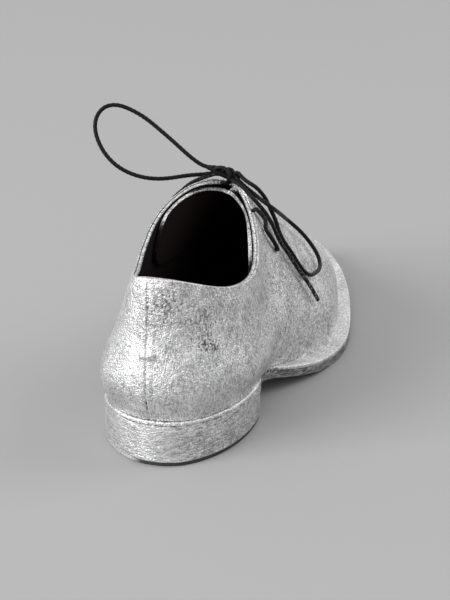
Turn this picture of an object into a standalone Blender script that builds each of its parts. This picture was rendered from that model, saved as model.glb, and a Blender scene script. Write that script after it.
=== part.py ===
"""Right derby shoe, standing empty on its sole.

Metres, +Z up, +Y towards the toe, +X towards the outer (lateral) side of a right foot.
The origin is the middle of the box around the shoe, on the floor, laces left aside.
The tables are in millimetres from the back of the heel and are scaled by MM.
"""
import math
from collections import namedtuple

import bmesh
import bpy
import numpy as np
from mathutils import Vector

for old in list(bpy.data.objects):
    bpy.data.objects.remove(old, do_unlink=True)

# Driving dimensions
MM = 0.001
CENTRE_X = -2.66
CENTRE_Y = 141.82
GAP = 0.3
TOP_PIECE = 2.2
TOP_PIECE_INSET = 0.6
OUTSOLE = 4.0
WELT = 2.2
INSOLE = 3.0
HEEL_BREAST_Y = 67.0
VAMP_WALL = 1.8
QUARTER_WALL = 3.0
TONGUE_WALL = 1.8
SLIT_SHARE = 0.032
STEP_WIDTH = 0.0009
CORD = 2.2
STATIONS = 44
ROW_SHARES = (
    (0.0, 0.006, 0.06, 0.12, 0.18, 0.24, 0.29)
    + (0.32, 0.345, 0.37, 0.4, 0.45, 0.52)
    + (0.6, 0.68, 0.76, 0.84, 0.92, 1.0)
)
SOLE_STATIONS = 52

# The sole seen from above: its edge on each side
Edge = namedtuple("Edge", "y lat med")
SOLE_EDGE = (
    Edge(0.0, -1.0, -1.0),
    Edge(2.0, 10.0, -11.5),
    Edge(10.0, 20.0, -23.5),
    Edge(24.0, 28.0, -33.5),
    Edge(42.0, 32.5, -36.0),
    Edge(67.0, 32.0, -34.5),
    Edge(88.0, 30.0, -31.0),
    Edge(104.0, 34.5, -30.5),
    Edge(120.0, 41.5, -32.0),
    Edge(138.0, 46.0, -36.0),
    Edge(156.0, 48.0, -41.5),
    Edge(180.0, 45.0, -49.0),
    Edge(206.0, 38.0, -53.0),
    Edge(232.0, 29.0, -52.5),
    Edge(256.0, 17.0, -47.5),
    Edge(272.0, 4.5, -40.0),
    Edge(282.5, -8.5, -30.0),
    Edge(286.0, -18.0, -18.0),
)

# Underside of the outsole: heel seat, arch, flat tread, toe spring
Under = namedtuple("Under", "y z")
UNDERSIDE = (
    Under(0.0, 16.9),
    Under(40.0, 15.0),
    Under(66.0, 14.0),
    Under(90.0, 10.5),
    Under(112.0, 5.2),
    Under(132.0, 1.3),
    Under(150.0, 0.0),
    Under(205.0, 0.0),
    Under(230.0, 1.2),
    Under(260.0, 5.5),
    Under(288.0, 12.0),
)

# Sections of the last, from the back seam to the toe. y, lat, med: foot of the wall.
# top_*: the collar line up to its front, then the ridge of the instep.
# arch: 0 an upright wall, 1 a wall that closes over. swell: how far it bellies out low down.
# full_*: 2 an ellipse, less is slimmer.
Section = namedtuple(
    "Section",
    "y lat med top_y_lat top_y_med top_lat top_med top_z_lat top_z_med arch swell full_lat full_med",
)
SECTIONS = (
    Section(4.5, -1.0, -1.0, 6.0, 6.0, -1.0, -1.0, 94.5, 94.5, 0.0, 4.0, 2.0, 2.0),
    Section(9.0, 13.5, -17.0, 9.0, 9.5, 9.5, -8.2, 93.3, 92.4, 0.0, 4.2, 2.0, 2.0),
    Section(24.0, 24.0, -29.0, 24.0, 25.0, 18.5, -14.6, 86.0, 87.4, 0.0, 4.2, 2.0, 2.0),
    Section(46.0, 28.5, -32.0, 47.0, 47.0, 23.5, -22.4, 78.0, 82.5, 0.0, 4.0, 2.0, 2.0),
    Section(70.0, 28.0, -30.5, 71.0, 70.0, 24.2, -28.5, 75.2, 84.7, 0.05, 4.0, 2.0, 2.0),
    Section(92.0, 26.0, -28.5, 91.0, 92.0, 19.6, -29.7, 79.5, 92.6, 0.25, 4.0, 1.9, 2.0),
    Section(110.0, 29.0, -27.5, 110.0, 109.0, 11.3, -25.6, 87.5, 98.1, 0.5, 3.5, 1.7, 2.0),
    Section(126.0, 33.0, -29.0, 127.0, 124.0, 0.2, -16.7, 94.6, 100.3, 0.8, 2.5, 1.55, 2.0),
    Section(138.0, 35.5, -32.0, 134.0, 134.0, -7.0, -7.0, 97.5, 97.5, 0.95, 2.0, 1.5, 2.0),
    Section(154.0, 37.5, -37.0, 150.0, 150.0, -9.0, -9.0, 87.0, 87.0, 1.0, 1.5, 1.5, 2.1),
    Section(174.0, 36.5, -43.0, 171.0, 171.0, -11.0, -11.0, 74.0, 74.0, 1.0, 1.2, 1.6, 2.1),
    Section(198.0, 31.0, -47.0, 194.0, 194.0, -13.0, -13.0, 62.5, 62.5, 1.0, 1.0, 1.7, 2.1),
    Section(222.0, 23.5, -46.5, 216.0, 216.0, -15.0, -15.0, 50.0, 50.0, 1.0, 0.8, 1.75, 2.0),
    Section(246.0, 13.0, -42.0, 237.0, 237.0, -16.5, -16.5, 38.0, 38.0, 1.0, 0.6, 1.75, 2.0),
    Section(264.0, 0.0, -34.5, 251.0, 251.0, -17.5, -17.5, 31.5, 31.5, 1.0, 0.5, 1.8, 2.0),
    Section(273.0, -9.5, -26.5, 257.5, 257.5, -18.0, -18.0, 28.5, 28.5, 1.0, 0.5, 1.9, 2.0),
    Section(276.0, -18.0, -18.0, 259.0, 259.0, -18.0, -18.0, 27.5, 27.5, 1.0, 0.5, 1.9, 1.9),
)
COLLAR_FRONT_Y = 138.0
WALL_LEAN = 1.7
BELLY_PEAK = 90.0
BELLY_FADE = 6
RIDGE_FALL = -0.42
RIDGE_FALL_START = 0.72
RIDGE_FALL_REACH = 0.2
ENDS_FREE = ("lat", "med", "top_lat", "top_med")

# Front edge of the quarters: share of the wall height, y at the foot of that wall line
QuarterEdge = namedtuple("QuarterEdge", "v y")
QUARTER_EDGE = (
    QuarterEdge(0.0, 95.0),
    QuarterEdge(0.08, 101.5),
    QuarterEdge(0.2, 110.0),
    QuarterEdge(0.3, 120.0),
    QuarterEdge(0.345, 129.0),
    QuarterEdge(0.37, 134.5),
    QuarterEdge(0.42, 133.0),
    QuarterEdge(0.52, 128.5),
    QuarterEdge(0.64, 127.0),
    QuarterEdge(0.8, 134.0),
    QuarterEdge(1.0, 153.0),
)

SIDES = ("lat", "med")
OUTWARD = {"lat": 1.0, "med": -1.0}


def smooth(xs, values, flat_ends):
    """Cubic through the points with continuous curvature; its end slopes are zero if flat_ends."""
    x = np.array(xs, float)
    v = np.array(values, float)
    n = len(x)
    h = np.diff(x)
    matrix = np.zeros((n, n))
    right = np.zeros(n)
    for i in range(1, n - 1):
        matrix[i, i - 1:i + 2] = h[i - 1], 2 * (h[i - 1] + h[i]), h[i]
        right[i] = 6 * ((v[i + 1] - v[i]) / h[i] - (v[i] - v[i - 1]) / h[i - 1])
    matrix[0, 0] = 1
    matrix[-1, -1] = 1
    if flat_ends:
        matrix[0, :2] = 2 * h[0], h[0]
        right[0] = 6 * (v[1] - v[0]) / h[0]
        matrix[-1, -2:] = h[-1], 2 * h[-1]
        right[-1] = -6 * (v[-1] - v[-2]) / h[-1]
    bend = np.linalg.solve(matrix, right)

    def at(q):
        q = np.clip(np.asarray(q, float), x[0], x[-1])
        i = np.clip(np.searchsorted(x, q, side="right") - 1, 0, n - 2)
        a = (x[i + 1] - q) / h[i]
        b = (q - x[i]) / h[i]
        bow = ((a**3 - a) * bend[i] + (b**3 - b) * bend[i + 1]) * h[i]**2 / 6
        return a * v[i] + b * v[i + 1] + bow

    return at


def steady(xs, values):
    """Cubic through the points that never overshoots, so that flat stretches stay flat."""
    x = np.array(xs, float)
    v = np.array(values, float)
    h = np.diff(x)
    rise = np.diff(v) / h
    slope = np.zeros_like(v)
    same = rise[:-1] * rise[1:] > 0
    slope[1:-1] = np.where(same, 2 * rise[:-1] * rise[1:] / np.where(same, rise[:-1] + rise[1:], 1), 0)
    slope[0] = rise[0]
    slope[-1] = rise[-1]

    def at(q):
        q = np.clip(np.asarray(q, float), x[0], x[-1])
        i = np.clip(np.searchsorted(x, q, side="right") - 1, 0, len(h) - 1)
        t = (q - x[i]) / h[i]
        start = (1 + 2 * t) * (1 - t)**2 * v[i] + t * (1 - t)**2 * h[i] * slope[i]
        return start + t * t * (3 - 2 * t) * v[i + 1] + t * t * (t - 1) * h[i] * slope[i + 1]

    return at


def station(y, table):
    """Place along one side, 0 at the back and 1 at the toe, rounded at both ends."""
    share = (np.asarray(y, float) - table[0].y) / (table[-1].y - table[0].y)
    return np.arccos(np.clip(1 - 2 * share, -1, 1)) / np.pi


def station_y(p, table):
    return table[0].y + (table[-1].y - table[0].y) * (1 - np.cos(np.pi * p)) / 2


def column(table, name):
    stations = station([row.y for row in table], table)
    return smooth(stations, [getattr(row, name) for row in table], name not in ENDS_FREE)


underside = steady([row.y for row in UNDERSIDE], [row.z for row in UNDERSIDE])
sole_columns = {side: column(SOLE_EDGE, side) for side in SIDES}
last_columns = {name: column(SECTIONS, name) for name in Section._fields}


def outsole_top(y):
    return underside(y) + OUTSOLE


def welt_top(y):
    return outsole_top(y) + GAP + WELT


def feather(y):
    """Height of the foot of the upper."""
    return welt_top(y) + GAP


def side_normal(edge, table, p, side):
    """Outward direction in plan along one side of an outline."""
    step = 1e-4
    before = np.clip(p - step, 0, 1)
    after = np.clip(p + step, 0, 1)
    dx = edge(after) - edge(before)
    dy = station_y(after, table) - station_y(before, table)
    length = np.hypot(dx, dy) + 1e-12
    return OUTWARD[side] * dy / length, -OUTWARD[side] * dx / length


def sole_outline(p, side, inset=0.0):
    edge = sole_columns[side]
    nx, ny = side_normal(edge, SOLE_EDGE, p, side)
    return edge(p) - nx * inset, station_y(p, SOLE_EDGE) - ny * inset


def last_point(p, v, side):
    """Inner face of the upper: p along the side, v from its foot to its top."""
    p, v = np.broadcast_arrays(np.asarray(p, float), np.asarray(v, float))
    get = last_columns
    x = get[side](p)
    y = station_y(p, SECTIONS)
    nx, ny = side_normal(get[side], SECTIONS, p, side)
    z = np.maximum(feather(y), feather(y + ny * QUARTER_WALL))
    arch = np.clip(get["arch"](p), 0, 1)
    power = 2 / get["full_" + side](p)
    turn = v * np.pi / 2
    inward = (1 - arch) * v**WALL_LEAN + arch * (1 - np.cos(turn)**power)
    upward = (1 - arch) * v + arch * np.sin(turn)**power
    belly = get["swell"](p) * BELLY_PEAK * v**2 * (1 - v)**BELLY_FADE
    ahead = (y - get["top_y_" + side](p)) * (1 - inward)
    ramp = np.clip((p - RIDGE_FALL_START) / RIDGE_FALL_REACH, 0, 1)
    top_z = get["top_z_" + side](p) + RIDGE_FALL * ramp * ramp * (3 - 2 * ramp) * ahead
    return np.stack(
        [
            x + (get["top_" + side](p) - x) * inward + nx * belly,
            y - (y - get["top_y_" + side](p)) * inward + ny * belly,
            z + (top_z - z) * upward,
        ],
        -1,
    )


def last_normal(p, v, side):
    step = 1e-3
    p, v = np.broadcast_arrays(np.asarray(p, float), np.asarray(v, float))
    along = last_point(np.clip(p + step, 0, 1), v, side) - last_point(np.clip(p - step, 0, 1), v, side)
    up = last_point(p, np.clip(v + step, 0, 1), side) - last_point(p, np.clip(v - step, 0, 1), side)
    n = np.cross(along, up) * OUTWARD[side]
    return n / (np.linalg.norm(n, axis=-1, keepdims=True) + 1e-12)


def place(point):
    """Millimetres from the heel to metres from the origin."""
    return ((point[0] - CENTRE_X) * MM, (point[1] - CENTRE_Y) * MM, point[2] * MM)


def collection(name):
    made = bpy.data.collections.new(name)
    bpy.context.scene.collection.children.link(made)
    return made


def material(name, color, roughness, metallic=0.0):
    made = bpy.data.materials.new(name)
    made.use_nodes = True
    shader = made.node_tree.nodes["Principled BSDF"]
    shader.inputs["Base Color"].default_value = (*color, 1.0)
    shader.inputs["Roughness"].default_value = roughness
    shader.inputs["Metallic"].default_value = metallic
    return made


SHOE = collection("derby_shoe")


def add_mesh(name, bm, look):
    bmesh.ops.recalc_face_normals(bm, faces=bm.faces)
    mesh = bpy.data.meshes.new(name)
    bm.to_mesh(mesh)
    bm.free()
    obj = bpy.data.objects.new(name, mesh)
    obj.data.materials.append(look)
    SHOE.objects.link(obj)
    return obj


def slab(name, lateral, medial, low, high, look):
    """Plate between two edges that share their first point; low and high give its faces by y."""
    bm = bmesh.new()

    def pair(x, y):
        return bm.verts.new(place((x, y, low(y)))), bm.verts.new(place((x, y, high(y))))

    left = [pair(*point) for point in medial]
    right = [left[0]] + [pair(*point) for point in lateral[1:]]
    closed = math.dist(lateral[-1], medial[-1]) < GAP
    if closed:
        for vert in right[-1]:
            bm.verts.remove(vert)
        right[-1] = left[-1]
    else:
        bm.faces.new((left[-1][0], left[-1][1], right[-1][1], right[-1][0]))
    for i in range(len(left) - 1):
        for level in (0, 1):
            ring = (left[i][level], left[i + 1][level], right[i + 1][level], right[i][level])
            bm.faces.new(list(dict.fromkeys(ring)))
        bm.faces.new((left[i][0], left[i + 1][0], left[i + 1][1], left[i][1]))
        bm.faces.new((right[i][0], right[i + 1][0], right[i + 1][1], right[i][1]))
    return add_mesh(name, bm, look)


def along(first_y, last_y, table, count):
    return np.linspace(float(station(first_y, table)), float(station(last_y, table)), count)


def edge_points(stations, side, inset=0.0):
    return [tuple(float(c) for c in sole_outline(p, side, inset)) for p in stations]


# Looks of the parts, one material each
LEATHER = (0.62, 0.63, 0.64)
TOP_PIECE_LOOK = material("heel_rubber", (0.02, 0.02, 0.02), 0.7)
HEEL_LOOK = material("heel_silver", (0.66, 0.66, 0.66), 0.45, 0.5)
OUTSOLE_LOOK = material("sole_silver", (0.50, 0.50, 0.50), 0.5, 0.4)
WELT_LOOK = material("welt_silver", (0.68, 0.68, 0.69), 0.45, 0.5)
INSOLE_LOOK = material("insole_leather", (0.05, 0.035, 0.03), 0.7)
UPPER_LOOK = material("upper_silver", LEATHER, 0.45, 0.5)
TONGUE_LOOK = material("tongue_silver", (0.55, 0.56, 0.57), 0.5, 0.4)
LACE_LOOK = material("lace_black", (0.012, 0.012, 0.013), 0.45)

# Heel: a black rubber top piece under a stack that follows the heel seat
sole_front = SOLE_EDGE[-1].y
heel_stations = along(0.0, HEEL_BREAST_Y, SOLE_EDGE, 24)
slab(
    "heel_top_piece",
    edge_points(heel_stations, "lat", TOP_PIECE_INSET),
    edge_points(heel_stations, "med", TOP_PIECE_INSET),
    lambda y: 0.0,
    lambda y: TOP_PIECE,
    TOP_PIECE_LOOK,
)
slab(
    "heel_stack",
    edge_points(heel_stations, "lat"),
    edge_points(heel_stations, "med"),
    lambda y: TOP_PIECE + GAP,
    lambda y: float(underside(y)) - GAP,
    HEEL_LOOK,
)

# Outsole: one plate from heel seat to toe
sole_stations = along(0.0, sole_front, SOLE_EDGE, SOLE_STATIONS)
slab(
    "outsole",
    edge_points(sole_stations, "lat"),
    edge_points(sole_stations, "med"),
    lambda y: float(underside(y)),
    lambda y: float(outsole_top(y)),
    OUTSOLE_LOOK,
)

# Welt: a strip all round on the outsole; the insole lies inside it
WELT_UNDER_UPPER = 2.4


def welt_inside(p, side, more=0.0):
    """Inner edge of the welt, set in from the foot of the upper."""
    nx, ny = side_normal(last_columns[side], SECTIONS, p, side)
    inset = WELT_UNDER_UPPER + more
    return (
        float(last_columns[side](p) - nx * inset),
        float(station_y(p, SECTIONS) - ny * inset),
    )


welt = bmesh.new()
loop_stations = np.linspace(0.0, 1.0, SOLE_STATIONS)
loop = [("lat", p) for p in loop_stations] + [("med", p) for p in loop_stations[-2:0:-1]]
sections = []
for side, p in loop:
    outer = [float(c) for c in sole_outline(p, side)]
    inner = welt_inside(p, side)
    ring = []
    for (x, y), z_of in (
        (outer, lambda y: outsole_top(y) + GAP),
        (outer, welt_top),
        (inner, welt_top),
        (inner, lambda y: outsole_top(y) + GAP),
    ):
        ring.append(welt.verts.new(place((x, y, float(z_of(y))))))
    sections.append(ring)
for i, ring in enumerate(sections):
    following = sections[(i + 1) % len(sections)]
    for k in range(4):
        welt.faces.new((ring[k], ring[(k + 1) % 4], following[(k + 1) % 4], following[k]))
add_mesh("welt", welt, WELT_LOOK)

insole_stations = np.linspace(0.0, 1.0, SOLE_STATIONS)
slab(
    "insole",
    [welt_inside(p, "lat", GAP) for p in insole_stations],
    [welt_inside(p, "med", GAP) for p in insole_stations],
    lambda y: float(outsole_top(y)) + GAP,
    lambda y: float(outsole_top(y)) + GAP + INSOLE,
    INSOLE_LOOK,
)

# Upper: one wall on the last, thicker where the quarters lie over the vamp
quarter_edge = steady(
    [row.v for row in QUARTER_EDGE],
    [float(station(row.y, SECTIONS)) for row in QUARTER_EDGE],
)
EDGE_STATION = float(quarter_edge(0.5))
FRONT_STATION = float(station(COLLAR_FRONT_Y, SECTIONS))
SHEAR_REACH = 0.34


def sheared(s, v):
    """Station of a wall line that leans with the front edge of the quarters."""
    window = max(0.0, 1 - abs(s - EDGE_STATION) / SHEAR_REACH)
    return s + (float(quarter_edge(v)) - EDGE_STATION) * window


def slit(p):
    """Share of the wall left open beside the ridge between the two facings."""
    ramp = np.clip((p - FRONT_STATION + 0.05) / 0.05, 0, 1)
    return SLIT_SHARE * ramp * ramp * (3 - 2 * ramp)


before_edge = np.linspace(0.0, EDGE_STATION, STATIONS // 2)
after_edge = np.linspace(EDGE_STATION + STEP_WIDTH, 1.0, STATIONS // 2)
upper_stations = [(float(s), True) for s in before_edge] + [(float(s), False) for s in after_edge]

ROWS = len(ROW_SHARES) - 1
upper = bmesh.new()
wall_weight = []
grid = {}
for side in SIDES:
    for i, (s, quarter) in enumerate(upper_stations):
        for j in range(ROWS + 1):
            if side == "med" and (i in (0, len(upper_stations) - 1) or (j == ROWS and not quarter)):
                grid[side, i, j] = grid["lat", i, j]
                continue
            share = ROW_SHARES[j]
            p = sheared(s, share)
            top = 1 - float(slit(p)) if quarter else 1.0
            grid[side, i, j] = upper.verts.new(place(last_point(p, share * top, side)))
            wall_weight.append(1.0 if quarter else 0.0)
for side in SIDES:
    for i in range(len(upper_stations) - 1):
        for j in range(ROWS):
            ring = [grid[side, i, j], grid[side, i + 1, j], grid[side, i + 1, j + 1], grid[side, i, j + 1]]
            if side == "med":
                ring.reverse()
            ring = list(dict.fromkeys(ring))
            if len(ring) > 2:
                upper.faces.new(ring)
upper_mesh = bpy.data.meshes.new("upper")
upper.to_mesh(upper_mesh)
upper.free()
upper_object = bpy.data.objects.new("upper", upper_mesh)
upper_mesh.materials.append(UPPER_LOOK)
SHOE.objects.link(upper_object)
quarters = upper_object.vertex_groups.new(name="quarters")
for index, weight in enumerate(wall_weight):
    quarters.add([index], weight, "REPLACE")
wall = upper_object.modifiers.new("wall", "SOLIDIFY")
wall.thickness = QUARTER_WALL * MM
wall.offset = 1.0
wall.vertex_group = "quarters"
wall.thickness_vertex_group = VAMP_WALL / QUARTER_WALL

# Tongue: a wide flap just inside the quarters, from under the vamp to the collar
TONGUE_BACK_Y = 78.0
TONGUE_APEX_Y = 141.0
TONGUE_END_Y = 172.0
TONGUE_CLEAR = 0.4
TONGUE_OPEN = 0.5
TONGUE_STATIONS = 20
TONGUE_ROWS = 7
TongueEdge = namedtuple("TongueEdge", "y low high")
TONGUE_EDGE = (
    TongueEdge(78.0, 0.78, 0.84),
    TongueEdge(82.0, 0.70, 0.905),
    TongueEdge(88.0, 0.64, 0.96),
    TongueEdge(95.0, 0.60, 0.985),
    TongueEdge(120.0, 0.52, 0.985),
    TongueEdge(145.0, 0.54, 0.985),
    TongueEdge(172.0, 0.66, 0.985),
)
tongue_low = steady([row.y for row in TONGUE_EDGE], [row.low for row in TONGUE_EDGE])
tongue_high = steady([row.y for row in TONGUE_EDGE], [row.high for row in TONGUE_EDGE])


def tongue_point(p, share, side, merged):
    y = station_y(p, SECTIONS)
    low = float(tongue_low(y))
    top = 1.0 if merged else float(tongue_high(y))
    v = low + (top - low) * share
    free = 0.0 if merged else TONGUE_OPEN * share * share
    inset = TONGUE_CLEAR + free
    return last_point(p, v, side) - last_normal(p, min(v, 0.999), side) * inset


tongue = bmesh.new()
tongue_stations = along(TONGUE_BACK_Y, TONGUE_END_Y, SECTIONS, TONGUE_STATIONS)
apex = float(station(TONGUE_APEX_Y, SECTIONS))
grid = {}
for side in SIDES:
    for i, p in enumerate(tongue_stations):
        merged = bool(p >= apex)
        for j in range(TONGUE_ROWS + 1):
            if side == "med" and merged and j == TONGUE_ROWS:
                grid[side, i, j] = grid["lat", i, j]
                continue
            grid[side, i, j] = tongue.verts.new(place(tongue_point(p, j / TONGUE_ROWS, side, merged)))
for side in SIDES:
    for i in range(TONGUE_STATIONS - 1):
        for j in range(TONGUE_ROWS):
            ring = [grid[side, i, j], grid[side, i + 1, j], grid[side, i + 1, j + 1], grid[side, i, j + 1]]
            if side == "med":
                ring.reverse()
            tongue.faces.new(ring)
tongue_mesh = bpy.data.meshes.new("tongue")
tongue.to_mesh(tongue_mesh)
tongue.free()
tongue_object = bpy.data.objects.new("tongue", tongue_mesh)
tongue_mesh.materials.append(TONGUE_LOOK)
SHOE.objects.link(tongue_object)
wall = tongue_object.modifiers.new("wall", "SOLIDIFY")
wall.thickness = TONGUE_WALL * MM
wall.offset = -1.0

# Lace: a waxed round cord; routes are hand-chosen points, in millimetres like the tables
KNOT_CENTRE = (-9.2, 131.0, 106.0)
KNOT_SIZE = (11.0, 8.0, 8.0)
CORD_STEP = 3 * CORD
RUN_RIGHT = (
    (23.1, 119.0, 71.3),
    (22.6, 117.9, 73.7),
    (21.7, 116.6, 76.3),
    (20.5, 115.3, 79.1),
    (19.0, 114.7, 81.6),
    (17.6, 115.6, 83.7),
    (17.2, 117.2, 85.9),
    (16.0, 118.0, 88.0),
    (14.1, 117.6, 90.3),
    (11.8, 116.9, 92.2),
)
RUN_LEFT = (
    (-31.4, 114.9, 78.1),
    (-31.8, 112.5, 84.6),
    (-32.0, 111.0, 89.8),
    (-31.3, 112.4, 94.2),
    (-28.8, 116.1, 97.2),
    (-26.0, 120.1, 99.9),
    (-22.1, 124.5, 102.0),
    (-14.0, 128.8, 104.8),
)
LOOP_LEFT = (
    (-15.1, 130.8, 107.5),
    (-19.6, 130.4, 107.4),
    (-26.5, 129.8, 110.6),
    (-37.5, 129.4, 119.1),
    (-45.7, 129.1, 125.4),
    (-53.8, 128.6, 131.1),
    (-61.4, 127.5, 135.0),
    (-68.2, 125.9, 136.9),
    (-73.4, 123.5, 135.9),
    (-76.7, 120.5, 131.6),
    (-77.0, 118.3, 126.8),
    (-74.7, 116.3, 120.1),
    (-70.9, 115.2, 114.3),
    (-64.8, 114.9, 108.5),
    (-58.2, 115.7, 104.7),
    (-49.7, 118.0, 102.0),
    (-39.8, 122.3, 101.2),
    (-30.2, 127.5, 102.2),
    (-23.8, 130.6, 102.6),
    (-18.3, 132.6, 103.2),
    (-14.7, 132.1, 104.7),
)
LOOP_RIGHT = (
    (-2.9, 131.4, 105.7),
    (2.2, 130.1, 102.1),
    (7.0, 129.7, 99.8),
    (10.0, 131.3, 96.1),
    (12.3, 132.7, 91.9),
    (14.2, 133.2, 87.4),
    (16.7, 133.7, 82.0),
    (19.2, 132.8, 76.1),
    (22.8, 131.0, 71.0),
    (25.3, 134.0, 65.2),
    (28.7, 137.2, 57.5),
    (30.6, 139.6, 53.2),
    (32.0, 143.2, 49.8),
    (32.6, 150.0, 47.2),
    (32.2, 160.0, 45.4),
    (29.9, 171.9, 45.2),
    (26.1, 177.9, 48.6),
    (21.6, 178.9, 54.2),
    (16.5, 176.0, 61.4),
    (12.4, 170.5, 67.9),
    (13.9, 158.0, 74.4),
    (16.4, 141.5, 82.6),
    (17.2, 130.8, 88.3),
    (15.6, 126.2, 91.9),
    (12.3, 126.0, 94.0),
    (6.3, 127.7, 97.1),
    (1.6, 128.6, 99.8),
    (-4.2, 130.2, 103.9),
)
END_RIGHT = (
    (-5.9, 128.0, 102.9),
    (2.0, 125.4, 100.1),
    (5.7, 124.2, 97.5),
    (9.3, 123.6, 94.4),
    (11.7, 124.0, 91.6),
    (13.7, 124.8, 88.9),
    (15.5, 125.8, 85.7),
    (17.5, 126.0, 82.4),
    (19.9, 125.4, 78.2),
    (23.1, 125.2, 72.2),
    (25.9, 128.4, 65.9),
    (29.0, 132.0, 58.3),
    (31.9, 136.2, 51.2),
    (34.8, 140.8, 43.4),
    (37.5, 144.8, 35.3),
)


def cord_line(route, step):
    """Points at an even step on a smooth curve through a route."""
    points = np.array(route)
    lengths = np.concatenate([[0.0], np.cumsum(np.linalg.norm(np.diff(points, axis=0), axis=1))])
    curves = [smooth(lengths, points[:, k], False) for k in range(3)]
    count = max(2, int(round(lengths[-1] / step)) + 1)
    shares = np.linspace(0.0, lengths[-1], count)
    return np.stack([curve(shares) for curve in curves], -1)


def cord(name, route):
    line = cord_line(route, CORD_STEP)
    data = bpy.data.curves.new(name, "CURVE")
    data.dimensions = "3D"
    data.bevel_depth = CORD / 2 * MM
    data.bevel_resolution = 2
    data.use_fill_caps = True
    spline = data.splines.new("POLY")
    spline.points.add(len(line) - 1)
    for point, target in zip(line, spline.points):
        target.co = (*place(point), 1.0)
    obj = bpy.data.objects.new(name, data)
    data.materials.append(LACE_LOOK)
    SHOE.objects.link(obj)


cord("lace_run_right", RUN_RIGHT)
cord("lace_run_left", RUN_LEFT)
cord("lace_loop_left", LOOP_LEFT)
cord("lace_loop_right", LOOP_RIGHT)
cord("lace_end_right", END_RIGHT)

knot = bmesh.new()
bmesh.ops.create_uvsphere(knot, u_segments=16, v_segments=10, radius=0.5)
bmesh.ops.scale(knot, vec=Vector(KNOT_SIZE) * MM, verts=knot.verts)
bmesh.ops.translate(knot, vec=Vector(place(KNOT_CENTRE)), verts=knot.verts)
add_mesh("lace_knot", knot, LACE_LOOK)
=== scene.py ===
"""Looks of a right derby shoe: brushed silver paint on leather, and a black cord lace tied in a bow.

Metres, +Z up, +Y to the toe and +X to the outer side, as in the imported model. The shoe's own sizes
are in millimetres from the back of the heel, as a last maker writes them, and are placed by metres().
"""
import math
from collections import namedtuple

import bpy
import numpy as np
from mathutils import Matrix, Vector, noise


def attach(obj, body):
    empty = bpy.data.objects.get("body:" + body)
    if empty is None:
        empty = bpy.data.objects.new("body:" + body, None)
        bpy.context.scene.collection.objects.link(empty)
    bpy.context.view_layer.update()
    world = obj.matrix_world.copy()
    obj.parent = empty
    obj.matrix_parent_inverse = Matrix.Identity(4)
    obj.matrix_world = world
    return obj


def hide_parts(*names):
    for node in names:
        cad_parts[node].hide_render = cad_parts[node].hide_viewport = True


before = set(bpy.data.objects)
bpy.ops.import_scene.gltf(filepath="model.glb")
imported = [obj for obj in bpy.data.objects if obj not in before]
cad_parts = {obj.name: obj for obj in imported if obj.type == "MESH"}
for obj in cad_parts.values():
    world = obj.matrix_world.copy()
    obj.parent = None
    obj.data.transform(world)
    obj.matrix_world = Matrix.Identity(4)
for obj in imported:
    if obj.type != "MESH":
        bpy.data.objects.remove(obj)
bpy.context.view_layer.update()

scene = bpy.context.scene

# Studio
# A plain pale floor under an even white sky, with one broad soft light behind the shoe on the left and a
# weaker one in front on the right, higher up. The camera stands behind the heel, a little to the outer
# side, and looks down along the shoe.
MM = 0.001
CAMERA_PLACE = (0.3113, -0.8861, 0.4103)
CAMERA_TILT = math.radians(68)
CAMERA_TURN = math.radians(20)
CAMERA_LENS = 113.4
FLOOR_HALF = 14.0
FLOOR_GREY = (0.325, 0.325, 0.325, 1.0)
FLOOR_PALE = (0.345, 0.345, 0.345, 1.0)
FLOOR_ROUGH = 0.85
FLOOR_CLOUD = 400.0
FLOOR_MOTTLE = 0.5
SKY_WHITE = (1.0, 1.0, 1.0, 1.0)
SKY_STRENGTH = 0.83
SHOE_MIDDLE = Vector((0.0, 0.0, 0.05))
Lamp = namedtuple("Lamp", "name place size power")
LAMPS = (
    Lamp("key_light", (-2.6, -3.2, 1.8), 2.8, 220.0),
    Lamp("fill_light", (2.8, 1.6, 2.8), 2.6, 55.0),
)

scene.view_settings.view_transform = "Standard"
camera_data = bpy.data.cameras.new("camera")
camera_data.lens = CAMERA_LENS
camera = bpy.data.objects.new("camera", camera_data)
camera.location = CAMERA_PLACE
camera.rotation_euler = (CAMERA_TILT, 0, CAMERA_TURN)
scene.collection.objects.link(camera)
scene.camera = camera

sky = bpy.data.worlds.new("studio")
sky.use_nodes = True
sky.node_tree.nodes["Background"].inputs["Color"].default_value = SKY_WHITE
sky.node_tree.nodes["Background"].inputs["Strength"].default_value = SKY_STRENGTH
scene.world = sky

for lamp in LAMPS:
    soft_light = bpy.data.lights.new(lamp.name, "AREA")
    soft_light.size = lamp.size
    soft_light.energy = lamp.power
    stand = bpy.data.objects.new(lamp.name, soft_light)
    stand.location = lamp.place
    stand.rotation_euler = (SHOE_MIDDLE - Vector(lamp.place)).to_track_quat("-Z", "Y").to_euler()
    scene.collection.objects.link(stand)


class Value:
    """An output of a material's nodes; arithmetic on it adds Math nodes."""

    def __init__(self, look, socket):
        self.look = look
        self.socket = socket

    def __add__(self, other):
        return self.look.node("Math", {"operation": "ADD"}, {0: self, 1: other})

    def __sub__(self, other):
        return self.look.node("Math", {"operation": "SUBTRACT"}, {0: self, 1: other})

    def __rsub__(self, other):
        return self.look.node("Math", {"operation": "SUBTRACT"}, {0: other, 1: self})

    def __mul__(self, other):
        return self.look.node("Math", {"operation": "MULTIPLY"}, {0: self, 1: other})

    __radd__ = __add__
    __rmul__ = __mul__


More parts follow.
